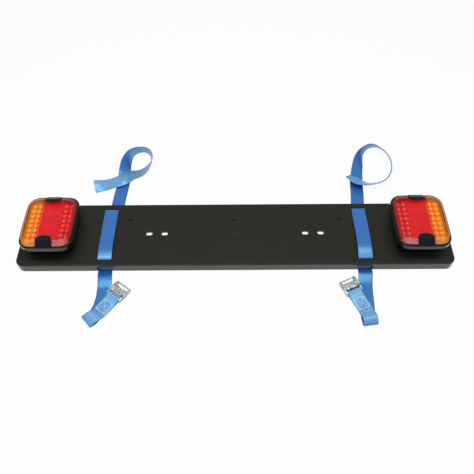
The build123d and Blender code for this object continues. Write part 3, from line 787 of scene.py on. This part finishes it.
@dataclass
class Board:
    """The board moulding and its centre plug."""

    edge: float = 0.5
    plug_edge: float = 0.25
    edge_segments: int = 2

    def build(self) -> None:
        """Softens the moulding and the plug."""
        softened("board", self.edge, self.edge_segments, BOARD_PLASTIC, ROOT_BODY, "board_plastic")
        softened("centre_plug", self.plug_edge, self.edge_segments, PLUG_RUBBER, ROOT_BODY, "plug_rubber")


# Lamp pieces that are softened: rounding, faces round each edge, finish and slot
SOFTENED_LAMP_PIECES = {
    "housing": (0.8, 3, HOUSING_PLASTIC, "housing_plastic"),
    "red_lens": (0.4, 3, RED_LENS, "red_lens"),
    "amber_lens": (0.4, 3, AMBER_LENS, "amber_lens"),
    "front_clip": (0.5, 3, CLIP_PLASTIC, "clip_plastic"),
    "rear_clip": (0.5, 3, CLIP_PLASTIC, "clip_plastic"),
    "charge_bung": (0.4, 2, PLUG_RUBBER, "plug_rubber"),
    "retro_reflector": (0.5, 2, RETRO_RED, "retro_red"),
}

# Lamp pieces that keep their CAD shape
PLAIN_LAMP_PIECES = {
    "lens_gasket": GASKET_RUBBER, "led_board": CIRCUIT_BOARD, "led_reflector": LAMP_INSIDE,
    "battery_cell": CELL_WRAP, "charge_socket": BUCKLE_STEEL, "mounting_screws": BUCKLE_STEEL,
    "red_leds": RED_DOME, "amber_leds": AMBER_DOME,
}


@dataclass
class Lamp:
    """One lamp: housing, lenses, clips, LED domes and what is inside."""

    side: Side
    centre_x: float = 338.8
    centre_y: float = 1.2
    led_pitch: float = 10.9
    led_rows: int = 8
    led_columns: tuple[float, float] = (24.0, 35.0)
    dome_radius: float = 3.7
    dome_rise: float = 3.6
    dome_segments: int = 16
    dome_rings: int = 10
    chip_top: float = 31.4

    def build(self) -> None:
        """Builds and dresses every piece of the lamp."""
        for piece, (edge, segments, finish, slot) in SOFTENED_LAMP_PIECES.items():
            softened(self.side.node(piece), edge, segments, finish, ROOT_BODY, slot)
        for piece, finish in PLAIN_LAMP_PIECES.items():
            paint(frame["nodes"][self.side.node(piece)], finish)
        self.domes("red", [-x for x in self.led_columns], RED_DOME)
        self.domes("amber", list(self.led_columns), AMBER_DOME)

    def domes(self, colour: str, columns: list[float], resin: Finish) -> None:
        """Cast domes on the LED chips of one colour.

        Args:
            colour: red or amber.
            columns: the columns' distances outwards from the lamp's middle.
            resin: the domes' finish.
        """
        deselect()
        bpy.ops.mesh.primitive_uv_sphere_add(
            segments=self.dome_segments, ring_count=self.dome_rings, radius=self.dome_radius * MM)
        unit = bpy.context.active_object
        with editing():
            bpy.ops.mesh.bisect(plane_co=(0, 0, 0), plane_no=(0, 0, 1), clear_inner=True, use_fill=True)
            bpy.ops.mesh.select_all(action="SELECT")
            bpy.ops.transform.resize(value=(1, 1, self.dome_rise / self.dome_radius))
        first = self.centre_y - self.led_pitch * (self.led_rows - 1) / 2
        places = []
        for column in columns:
            for row in range(self.led_rows):
                x = self.side.sign * (self.centre_x + column)
                point = Vector((x, first + row * self.led_pitch, self.chip_top)) * MM
                places.append(Matrix.Translation(point))
        piece = scattered(unit, self.side.node(f"{colour}_domes"), places)
        place_piece(piece, resin, ROOT_BODY, f"{colour}_led")


@dataclass
class CamBuckle:
    """One cam buckle: frame, lever, pin and spring."""

    side: Side
    edge: float = 0.35
    edge_segments: int = 2

    def build(self) -> None:
        """Softens the pressings and winds the spring."""
        node = self.side.node
        for piece, edge, body in (
                ("buckle_frame", self.edge, ROOT_BODY), ("cam_lever", self.edge / 2, node("cam"))):
            softened(node(piece), edge, self.edge_segments, BUCKLE_STEEL, body, "buckle_steel")
        paint(frame["nodes"][node("cam_pin")], BUCKLE_STEEL)
        TorsionSpring(self.side).build()


@dataclass
class TorsionSpring:
    """The wire coil round a cam's pin, with a leg on the base plate and one under the lever."""

    side: Side
    wire: float = 0.9
    wire_sides: int = 10
    radius: float = 2.53
    length: float = 3.6
    base_leg: float = 6.0
    lever_leg: float = 7.6
    first_angle: float = -90.0
    last_angle: float = 1163.6
    rounds: int = 4
    steps: int = 21
    end_slack: float = 0.01

    def build(self) -> None:
        """Winds the wire along Z, draws out both legs and sets it on the hinge's own axis."""
        node = self.side.node
        half = self.length / 2
        deselect()
        bpy.ops.mesh.primitive_circle_add(
            vertices=self.wire_sides, radius=self.wire / 2 * MM, fill_type="NOTHING",
            location=(self.radius * MM, 0, -half * MM), rotation=(math.pi / 2, 0, 0))
        piece = bpy.context.active_object
        piece.name = piece.data.name = node("cam_spring_wound")
        bpy.ops.object.transform_apply()
        coil = piece.modifiers.new("coil", "SCREW")
        coil.angle = math.radians(self.last_angle - self.first_angle) / self.rounds
        coil.screw_offset = self.length / self.rounds * MM
        coil.iterations = self.rounds
        coil.steps = coil.render_steps = self.steps
        apply_modifiers(piece)
        piece.data.transform(Matrix.Rotation(math.radians(self.first_angle), 4, "Z"))
        self.draw_leg(piece, self.first_angle, -half, -self.base_leg)
        self.draw_leg(piece, self.last_angle, half, self.lever_leg)
        with editing():
            bpy.ops.mesh.normals_make_consistent(inside=False)
        shade_smooth(SMOOTH_ANGLE)
        hinge = next(joint for joint in frame["joints"] if joint["name"] == node("cam_hinge"))
        middle, axis, up = Vector(hinge["pos_m"]), Vector(hinge["axis"]), Vector((0, 0, 1))
        turned = Matrix((up.cross(axis), up, axis)).transposed().to_4x4()
        piece.data.transform(Matrix.Translation(middle) @ turned)
        paint(piece, SPRING_STEEL)
        node("cam")
        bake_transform(piece)
        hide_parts(node("cam_spring"))
        LOG.info("piece %s wound, %d faces", piece.name, len(piece.data.polygons))

    def draw_leg(self, piece: bpy.types.Object, angle: float, height: float, leg: float) -> None:
        """Draws one end of the coil out into a straight leg.

        Args:
            piece: the wound coil.
            angle: the end's angle round the pin.
            height: the end's place along the pin.
            leg: the leg's length, positive the way the wire is wound.
        """
        turn = math.radians(angle)
        out = Vector((math.cos(turn), math.sin(turn), 0))
        along = Vector((-math.sin(turn), math.cos(turn), 0))
        centre = (out * self.radius + Vector((0, 0, height))) * MM
        reach = (self.wire / 2 + self.end_slack) * MM
        only(piece)
        with editing():
            bpy.ops.mesh.select_all(action="DESELECT")
        for vertex in piece.data.vertices:
            off = vertex.co - centre
            vertex.select = off.length < reach and abs(off.dot(along)) < self.end_slack * MM
        bpy.ops.object.mode_set(mode="EDIT")
        bpy.ops.mesh.select_mode(type="VERT")
        bpy.ops.mesh.extrude_region_move(TRANSFORM_OT_translate={"value": tuple(along * leg * MM)})
        bpy.ops.mesh.edge_face_add()
        bpy.ops.object.mode_set(mode="OBJECT")


@dataclass
class StrapSizes:
    """Sizes that both straps and the part's source share."""

    width: float = 26.0
    thickness: float = 1.4
    floor: float = -19.0
    board_half: float = 70.0
    skirt: float = 3.5
    sheet: float = 3.5
    strap_x: float = 238.0
    slot_y: float = 57.0
    bend: float = 3.0
    drift: float = 4.0
    layer_gap: float = 0.1
    bar_gap: float = 0.2
    bar_radius: float = 2.25
    bar_rise: float = 7.1
    sewn_length: float = 38.0
    sewn_start: float = 12.0

    @property
    def flat(self) -> float:
        """Height of the webbing's middle when it lies flat on the floor."""
        return self.floor + self.thickness / 2

    @property
    def over_board(self) -> float:
        """Height of the webbing's middle when it lies flat on the board."""
        return self.thickness / 2 + self.layer_gap

    @property
    def bar_z(self) -> float:
        """Height of the middle of the buckle's bar."""
        return self.floor + self.bar_rise

    @property
    def bar_turn(self) -> float:
        """Radius of the webbing's middle round the bar."""
        return self.bar_radius + self.bar_gap + self.thickness / 2

    @property
    def under_bar(self) -> float:
        """Height of the webbing's middle where it leaves the bar below, under its own cut end."""
        return self.bar_z - self.bar_turn

    @property
    def cut_end(self) -> float:
        """Height of the webbing's middle in the cut end that is sewn on top."""
        return self.under_bar + self.thickness + self.layer_gap

    def laid(self, x: float, y: float, azimuth: float, elevation: float, lift: float = 0.0) -> Station:
        """A station whose lower edge lies on the floor, or lift above it."""
        rise = abs(math.sin(math.radians(elevation))) * self.width / 2
        return (x, y, self.flat + rise + lift, azimuth, elevation)


SIZES = StrapSizes()
BUCKLE_PLACES = {Side.LEFT: (-213.0, -126.5, 53.0), Side.RIGHT: (211.0, -119.5, 115.0)}

# Half of the webbing's section, in shares of its half-width and half-thickness
HALF_SECTION = [
    (-1, 0.4), (-0.97, 0.9), (-0.9, 1), (-0.45, 1), (0, 1), (0.45, 1), (0.9, 1), (0.97, 0.9), (1, 0.4)]
SECTION = HALF_SECTION + [(across, -up) for across, up in reversed(HALF_SECTION)]

# Azimuth and elevation of each strap's width where it lies flat. The left tail turns right over.
FLAT_ACROSS = {Side.LEFT: (180.0, -180.0), Side.RIGHT: (0.0, 0.0)}

# Front folds from the buckle's bar: (x, y, rise from lying flat, azimuth of the width)
FRONT_FOLDS = {
    Side.LEFT: [
        (-24.6, -33.2, 4.6, -38), (-27, -38, 8.8, -41), (-30.5, -41.3, 10.3, -43), (-35.5, -44.5, 9, -45),
        (-40.5, -47.3, 6.3, -46), (-43.7, -48.8, 3.2, -46), (-42, -47.3, 0.6, -45), (-34.5, -40, 0, -38),
        (-26, -24, 0, -18), (-21.5, 0, 0, -3), (-21.6, 17.5, 0.05, -1), (-21.7, 22.5, 0.6, 0),
        (-22, 28.5, 1.9, 0), (-22.4, 34.5, 3.2, 0), (-23.3, 42.5, 3.6, 0),
    ],
    Side.RIGHT: [
        (17.5, -40, 4.8, 22), (19, -47, 9.3, 17), (20.3, -54, 12.3, 13), (20.8, -60, 10.3, 10),
        (21, -65, 4.8, 8), (21, -58, 0.5, 6), (20, -44, 0, 3), (21, -18, 0, 1), (22.6, 12, 0, 0.5),
        (23.6, 19.5, 0.15, 0), (24.4, 25, 0.9, 0), (25, 30.5, 2, 0), (25.6, 35.5, 3.1, 0),
        (26.2, 40.5, 3.3, 0),
    ],
}

# Where the webbing arches over the board: its slope out of the front slot, and (y, rise from lying flat)
ARCH_SLOPES = {Side.LEFT: 14, Side.RIGHT: 26}
ARCHES = {
    Side.LEFT: [(-50, 1), (-44, 2), (-36, 2.8), (-24, 3.1), (-6, 2.6), (14, 1.5), (36, 0.4)],
    Side.RIGHT: [(-50, 2), (-44, 4), (-36, 5.6), (-24, 6.2), (-6, 5.3), (14, 3.2), (36, 0.9)],
}

# Tails from the middle of the rear notch: (x, y, azimuth, elevation, lift) as StrapSizes.laid takes them
TAILS = {
    Side.LEFT: [
        (6.5, 35, 184, -180), (9, 65, 190, -180), (10, 87, 202, -170), (10, 108, 212, -149),
        (13, 128, 216, -135), (20, 143, 226, -122), (32, 152, 242, -110), (48, 152, 280, -108),
        (59, 142, 297, -115), (64, 124, 304, -113), (60, 104, 330, -107), (50, 90, 322, -103),
        (39, 83, 308, -97), (28, 79, 296, -84, 1.2), (16, 75.5, 284, -52, 2), (2, 71, 275, -14, 3),
        (-12, 67, 274, -6, 2.5), (-28, 63, 279, -10), (-47, 56, 280, -30),
    ],
    Side.RIGHT: [
        (8, 35, 2, 0), (10, 65, 6, -2), (13, 88, 8, -16), (17, 108, 17, -24), (22, 127, 28, -33),
        (32, 145, 44, -45), (47, 158, 53, -56), (65, 159, 63, -53), (79, 144, 69, -46), (86, 118, 69, -45),
        (83, 92, 68, -46), (73, 72, 68, -47), (58, 61, 71, -46), (38, 57, 72, -42), (22, 59, 60, -30, 2),
        (10, 66, 50, -20, 3), (-4, 81, 50, -24, 2),
    ],
}


def smooth(before: list[Station], chosen: list[Station], after: list[Station], steps: int) -> list[Station]:
    """Stations on a smooth curve through the chosen ones and into their neighbours.

    Args:
        before: stations that the curve runs on from.
        chosen: the stations it passes through.
        after: stations it runs into, or none at a free end.
        steps: how many stations each span gives.

    Returns:
        The curve's stations, without the neighbours.
    """
    stations = before + chosen + after
    reach = [0.0]
    for a, b in zip(stations, stations[1:]):
        reach.append(reach[-1] + math.dist(a[:3], b[:3]))
    last = len(stations) - 1
    curve = []
    for i in range(len(before) - 1, len(before) + len(chosen) - (0 if after else 1)):
        low = max(i - 1, 0)
        high = min(i + 2, last)
        span = reach[i + 1] - reach[i]
        for step in range(1, steps + 1):
            u = step / steps
            row = []
            for low_value, start, end, high_value in zip(
                    stations[low], stations[i], stations[i + 1], stations[high]):
                slope_in = (end - low_value) / (reach[i + 1] - reach[low]) * span
                slope_out = (high_value - start) / (reach[high] - reach[i]) * span
                row.append((2 * u**3 - 3 * u**2 + 1) * start + (u**3 - 2 * u**2 + u) * slope_in
                           + (3 * u**2 - 2 * u**3) * end + (u**3 - u**2) * slope_out)
            curve.append(tuple(row))
    return curve[:-1] if after else curve


@dataclass
class Strap:
    """One length of webbing threaded through the board, with its sewn box at the buckle."""

    side: Side
    smooth_steps: int = 7
    smooth_angle: float = 50.0
    bend_steps: int = 8
    bar_steps: int = 18
    bar_start: float = -20.0
    bar_sweep: float = 200.0
    box_length: float = 21.5
    box_width: float = 18.0
    box_start: float = 14.5
    stitch_pitch: float = 3.1
    stitch_length: float = 2.9
    stitch_radius: float = 0.6
    stitch_segments: int = 8
    stitch_rings: int = 6

    def at_bar(self, back: float, z: float) -> Station:
        """A station on the sewn end.

        Args:
            back: its distance back from the buckle's bar.
            z: its height.

        Returns:
            The station.
        """
        bar_x, bar_y, heading = BUCKLE_PLACES[self.side]
        turn = math.radians(heading)
        around, roll = FLAT_ACROSS[self.side]
        return (bar_x - back * math.cos(turn), bar_y - back * math.sin(turn), z, heading - 90 + around, roll)

    def sewn_end(self) -> list[Station]:
        """The webbing's start, from its cut end round the buckle's bar.

        Returns:
            Its stations, the last one where the single layer begins.
        """
        radius = SIZES.bar_turn
        route = [self.at_bar(back, SIZES.cut_end) for back in (SIZES.sewn_length, SIZES.sewn_start)]
        for step in range(self.bar_steps + 1):
            angle = math.radians(self.bar_start + self.bar_sweep * step / self.bar_steps)
            route.append(self.at_bar(-radius * math.sin(angle), SIZES.bar_z + radius * math.cos(angle)))
        return route + [self.at_bar(SIZES.sewn_length, SIZES.under_bar)]

    def from_notch(self, slope: float) -> list[Range]:
        """The webbing's way from a notch up through its slot.

        Args:
            slope: how steeply it leaves the bend over the slot's edge.

        Returns:
            Y and Z of each station.
        """
        points = [
            (SIZES.board_half, SIZES.flat), (SIZES.board_half - SIZES.skirt, SIZES.flat + SIZES.thickness),
            (SIZES.slot_y, -2 * SIZES.sheet),
        ]
        for step in range(self.bend_steps + 1):
            angle = math.radians(90 - slope) * step / self.bend_steps
            y = SIZES.slot_y - SIZES.bend + SIZES.bend * math.cos(angle)
            points.append((y, SIZES.over_board - SIZES.bend + SIZES.bend * math.sin(angle)))
        return points

    def board_run(self) -> tuple[list[Station], list[Station], list[Station]]:
        """The webbing's way over the board.

        Returns:
            Stations up through the front slot, arched over the board, and down through the rear slot.
        """
        x = self.side.sign * SIZES.strap_x
        across = FLAT_ACROSS[self.side]
        front = [(x, -y, z, *across) for y, z in self.from_notch(ARCH_SLOPES[self.side])]
        arch = [(x, y, SIZES.over_board + rise, *across) for y, rise in ARCHES[self.side]]
        drift = SIZES.drift / (SIZES.board_half - SIZES.slot_y)
        down = reversed(self.from_notch(0))
        rear = [(x + drift * max(0.0, y - SIZES.slot_y), y, z, *across) for y, z in down]
        return front, smooth(front, arch, rear, self.smooth_steps), rear

    def route(self) -> list[Station]:
        """The webbing's whole way.

        Returns:
            Every station from the cut end at the buckle to the tail.
        """
        sewn = self.sewn_end()
        front, arch, rear = self.board_run()
        bar_x, bar_y, _ = BUCKLE_PLACES[self.side]
        around, roll = FLAT_ACROSS[self.side]
        bent = [
            (bar_x + x, bar_y + y, SIZES.flat + rise, turn + around, roll)
            for x, y, rise, turn in FRONT_FOLDS[self.side]]
        notch_x = self.side.sign * SIZES.strap_x
        loose = [SIZES.laid(notch_x + x, SIZES.board_half + y, *rest) for x, y, *rest in TAILS[self.side]]
        fold = smooth(sewn, bent, front, self.smooth_steps)
        tail = smooth(rear, loose, [], self.smooth_steps)
        return sewn + fold + front + arch + rear + tail

    def sections(self) -> list[Section]:
        """The webbing's sections, none of them below the floor.

        Returns:
            Middle, half-width and half-thickness vectors at every station, in metres.
        """
        route = self.route()
        middles = [Vector(station[:3]) for station in route]
        found = []
        for i, station in enumerate(route):
            along = (middles[min(i + 1, len(route) - 1)] - middles[max(i - 1, 0)]).normalized()
            azimuth, elevation = math.radians(station[3]), math.radians(station[4])
            level = math.cos(elevation)
            across = Vector((level * math.cos(azimuth), level * math.sin(azimuth), math.sin(elevation)))
            across = (across - along * across.dot(along)).normalized() * (SIZES.width / 2)
            up = across.cross(along).normalized() * (SIZES.thickness / 2)
            lowest = middles[i].z - abs(across.z) - abs(up.z)
            middle = middles[i] + Vector((0, 0, max(0.0, SIZES.floor - lowest)))
            found.append((middle * MM, across * MM, up * MM))
        return found

    def ribbon(self) -> tuple[bpy.types.Mesh, float]:
        """The webbing's mesh, with a UV map from each end.

        Returns:
            The mesh, and the webbing's length in metres.
        """
        sections = self.sections()
        count = len(SECTION)
        points = [middle + across * a + up * b for middle, across, up in sections for a, b in SECTION]
        faces = []
        for ring in range(len(sections) - 1):
            for k in range(count):
                a, b = ring * count + k, ring * count + (k + 1) % count
                faces.append((a, b, b + count, a + count))
        last = (len(sections) - 1) * count
        faces.append(tuple(reversed(range(count))))
        faces.append(tuple(range(last, last + count)))
        mesh = bpy.data.meshes.new(self.side.node("webbing"))
        mesh.from_pydata(points, [], faces)
        reach = [0.0]
        for (a, _, _), (b, _, _) in zip(sections, sections[1:]):
            reach.append(reach[-1] + (b - a).length)
        for name, starts in (("strap", reach), ("tail", [reach[-1] - along for along in reach])):
            layer = mesh.uv_layers.new(name=name)
            for loop in mesh.loops:
                ring, k = divmod(loop.vertex_index, count)
                layer.data[loop.index].uv = (SECTION[k][0] / 2 + 0.5, starts[ring] / (SIZES.width * MM))
        return mesh, reach[-1]

    def build(self) -> None:
        mesh, length = self.ribbon()
        strap = add_object(mesh.name, mesh)
        with editing():
            bpy.ops.mesh.normals_make_consistent(inside=False)
        shade_smooth(self.smooth_angle)
        place_piece(strap, WEBBING, ROOT_BODY, "webbing", self.side.node("strap"))
        stitches = self.stitches()
        LOG.info("strap %s is %.3f m long", self.side.value, length)

    def stitches(self) -> bpy.types.Object:
        """The sewn box and cross that hold the loop round the buckle's bar.

        Returns:
            One object with all the stitches, over and under the sewn layers.
        """
        deselect()
        bpy.ops.mesh.primitive_uv_sphere_add(
            segments=self.stitch_segments, ring_count=self.stitch_rings, radius=1.0)
        unit = bpy.context.active_object
        with editing():
            squeeze = self.stitch_radius * MM
            bpy.ops.transform.resize(value=(self.stitch_length / 2 * MM, squeeze, squeeze))
        near, far = self.box_start, self.box_start + self.box_length
        half = self.box_width / 2
        corners = [(near, -half), (near, half), (far, half), (far, -half)]
        lines = [(corners[i], corners[(i + 1) % 4]) for i in range(4)]
        lines += [(corners[0], corners[2]), (corners[1], corners[3])]
        heading = math.radians(BUCKLE_PLACES[self.side][2])
        places = []
        for z in (SIZES.cut_end + SIZES.thickness / 2, SIZES.under_bar - SIZES.thickness / 2):
            for (back_a, side_a), (back_b, side_b) in lines:
                number = round(math.dist((back_a, side_a), (back_b, side_b)) / self.stitch_pitch)
                turn = heading + math.atan2(side_b - side_a, back_a - back_b)
                for k in range(number):
                    u = (k + 0.5) / number
                    back, aside = back_a + (back_b - back_a) * u, side_a + (side_b - side_a) * u
                    x, y = self.at_bar(back, z)[:2]
                    x -= aside * math.sin(heading)
                    y += aside * math.cos(heading)
                    spot = Matrix.Translation(Vector((x, y, z)) * MM)
                    places.append(spot @ Matrix.Rotation(turn, 4, "Z"))
        piece = scattered(unit, self.side.node("stitching"), places)
        place_piece(piece, THREAD, ROOT_BODY, "webbing")
        return piece


# Studio


@dataclass(frozen=True)
class SoftLight:
    """An oblong light that points at the board's middle."""

    name: str
    place: Point
    size: Range
    power: float

    def build(self) -> None:
        """Adds the light to the scene."""
        data = bpy.data.lights.new(self.name, "AREA")
        data.shape = "RECTANGLE"
        data.size, data.size_y = self.size
        data.energy = self.power
        light = add_object(self.name, data)
        light.location = self.place
        light.rotation_euler = (-Vector(self.place)).to_track_quat("-Z", "Y").to_euler()


@dataclass
class Studio:
    """White floor, soft lights and the camera at the photograph's viewing angle."""

    eye: Point = (0.0094, -0.5969, 0.8394)
    pitch: float = 55.0
    yaw: float = 0.53
    roll: float = -0.78
    sensor: float = 36.0
    focal_share: float = 548.0 / 474.0
    clip_end: float = 100.0
    key: SoftLight = SoftLight("key", (0.0, 0.04, 1.5), (1.5, 0.24), 15.0)
    fill: SoftLight = SoftLight("fill", (-0.5, -1.7, 0.9), (1.6, 0.6), 4.0)
    backdrop: Colour = (1.0, 1.0, 1.0)
    ambient: float = 0.3
    floor_z: float = -0.019
    floor_size: float = 14.0
    floor_colour: Colour = (0.95, 0.95, 0.95)
    floor_roughness: float = 0.9
    floor_white: float = 0.92
    strap_x: float = 0.238
    strap_room: Range = (0.028, 0.03)
    board_half: Range = (0.0685, 0.0695)

    def build(self) -> None:
        """Makes the world, floor, lights and camera."""
        self.world()
        self.floor()
        self.key.build()
        self.fill.build()
        self.camera()

    def see_through(self, sheet: NodeSheet) -> Socket:
        """Tells the rays that meet the plain white background.

        Args:
            sheet: the world's or floor's sheet.

        Returns:
            1 for camera, glossy and transmission rays, and 0 for the rest.
        """
        path = sheet.add("ShaderNodeLightPath").outputs
        seen = sheet.math("ADD", path["Is Camera Ray"], path["Is Glossy Ray"])
        return sheet.math("MINIMUM", sheet.math("ADD", seen, path["Is Transmission Ray"]), 1.0)

    def world(self) -> None:
        """White to look at, and a softer white to light with."""
        world = bpy.data.worlds.new("studio")
        bpy.context.scene.world = world
        world.use_nodes = True
        sheet = NodeSheet(world.node_tree)
        strength = sheet.spread(self.see_through(sheet), self.ambient, 1.0)
        sheet.feed(sheet.tree.nodes["Background"], Color=self.backdrop, Strength=strength)

    def floor(self) -> None:
        """A large white floor that keeps a faint shadow of the object and is dark under the strap slots."""
        deselect()
        bpy.ops.mesh.primitive_plane_add(size=self.floor_size, location=(0.0, 0.0, self.floor_z))
        floor = bpy.context.active_object
        floor.name = "studio_floor"
        surface = Surface("white floor", self.floor_colour)
        surface.show(Roughness=self.floor_roughness)
        x, y, _ = surface.parts(surface.place)
        off_strap = surface.apart(surface.math("ABSOLUTE", x), self.strap_x)
        beside = surface.ramp(off_strap, *self.strap_room)
        clear = surface.math("MAXIMUM", beside, surface.ramp(surface.math("ABSOLUTE", y), *self.board_half))
        share = surface.product(surface.product(self.see_through(surface), clear), self.floor_white)
        white = surface.add("ShaderNodeEmission").outputs[0]
        mix = surface.add("ShaderNodeMixShader", None, i0=share, i1=surface.shader.outputs[0], i2=white)
        surface.feed(surface.tree.nodes["Material Output"], Surface=mix.outputs[0])
        floor.data.materials.append(surface.material)

    def camera(self) -> None:
        """The camera, from the fitted eye point and angles."""
        pitch, yaw, roll = (math.radians(value) for value in (self.pitch, self.yaw, self.roll))
        back = Vector((math.sin(yaw) * math.cos(pitch), -math.cos(yaw) * math.cos(pitch), math.sin(pitch)))
        level = (-back).cross(Vector((0, 0, 1))).normalized()
        upright = level.cross(-back)
        right = level * math.cos(roll) + upright * math.sin(roll)
        up = upright * math.cos(roll) - level * math.sin(roll)
        data = bpy.data.cameras.new("camera")
        data.sensor_width = self.sensor
        data.lens = self.focal_share * self.sensor
        data.clip_end = self.clip_end
        camera = add_object("camera", data)
        turned = Matrix((right, up, back)).transposed().to_4x4()
        camera.matrix_world = Matrix.Translation(Vector(self.eye)) @ turned
        bpy.context.scene.camera = camera


def main() -> None:
    """Builds the studio and every piece of the lighting board."""
    logging.basicConfig(level=logging.INFO, format="%(name)s: %(message)s")
    bpy.context.scene.view_settings.view_transform = "Standard"
    Studio().build()
    Board().build()
    for side in Side:
        Lamp(side).build()
        CamBuckle(side).build()
        Strap(side).build()


if __name__ == "__main__":
    main()
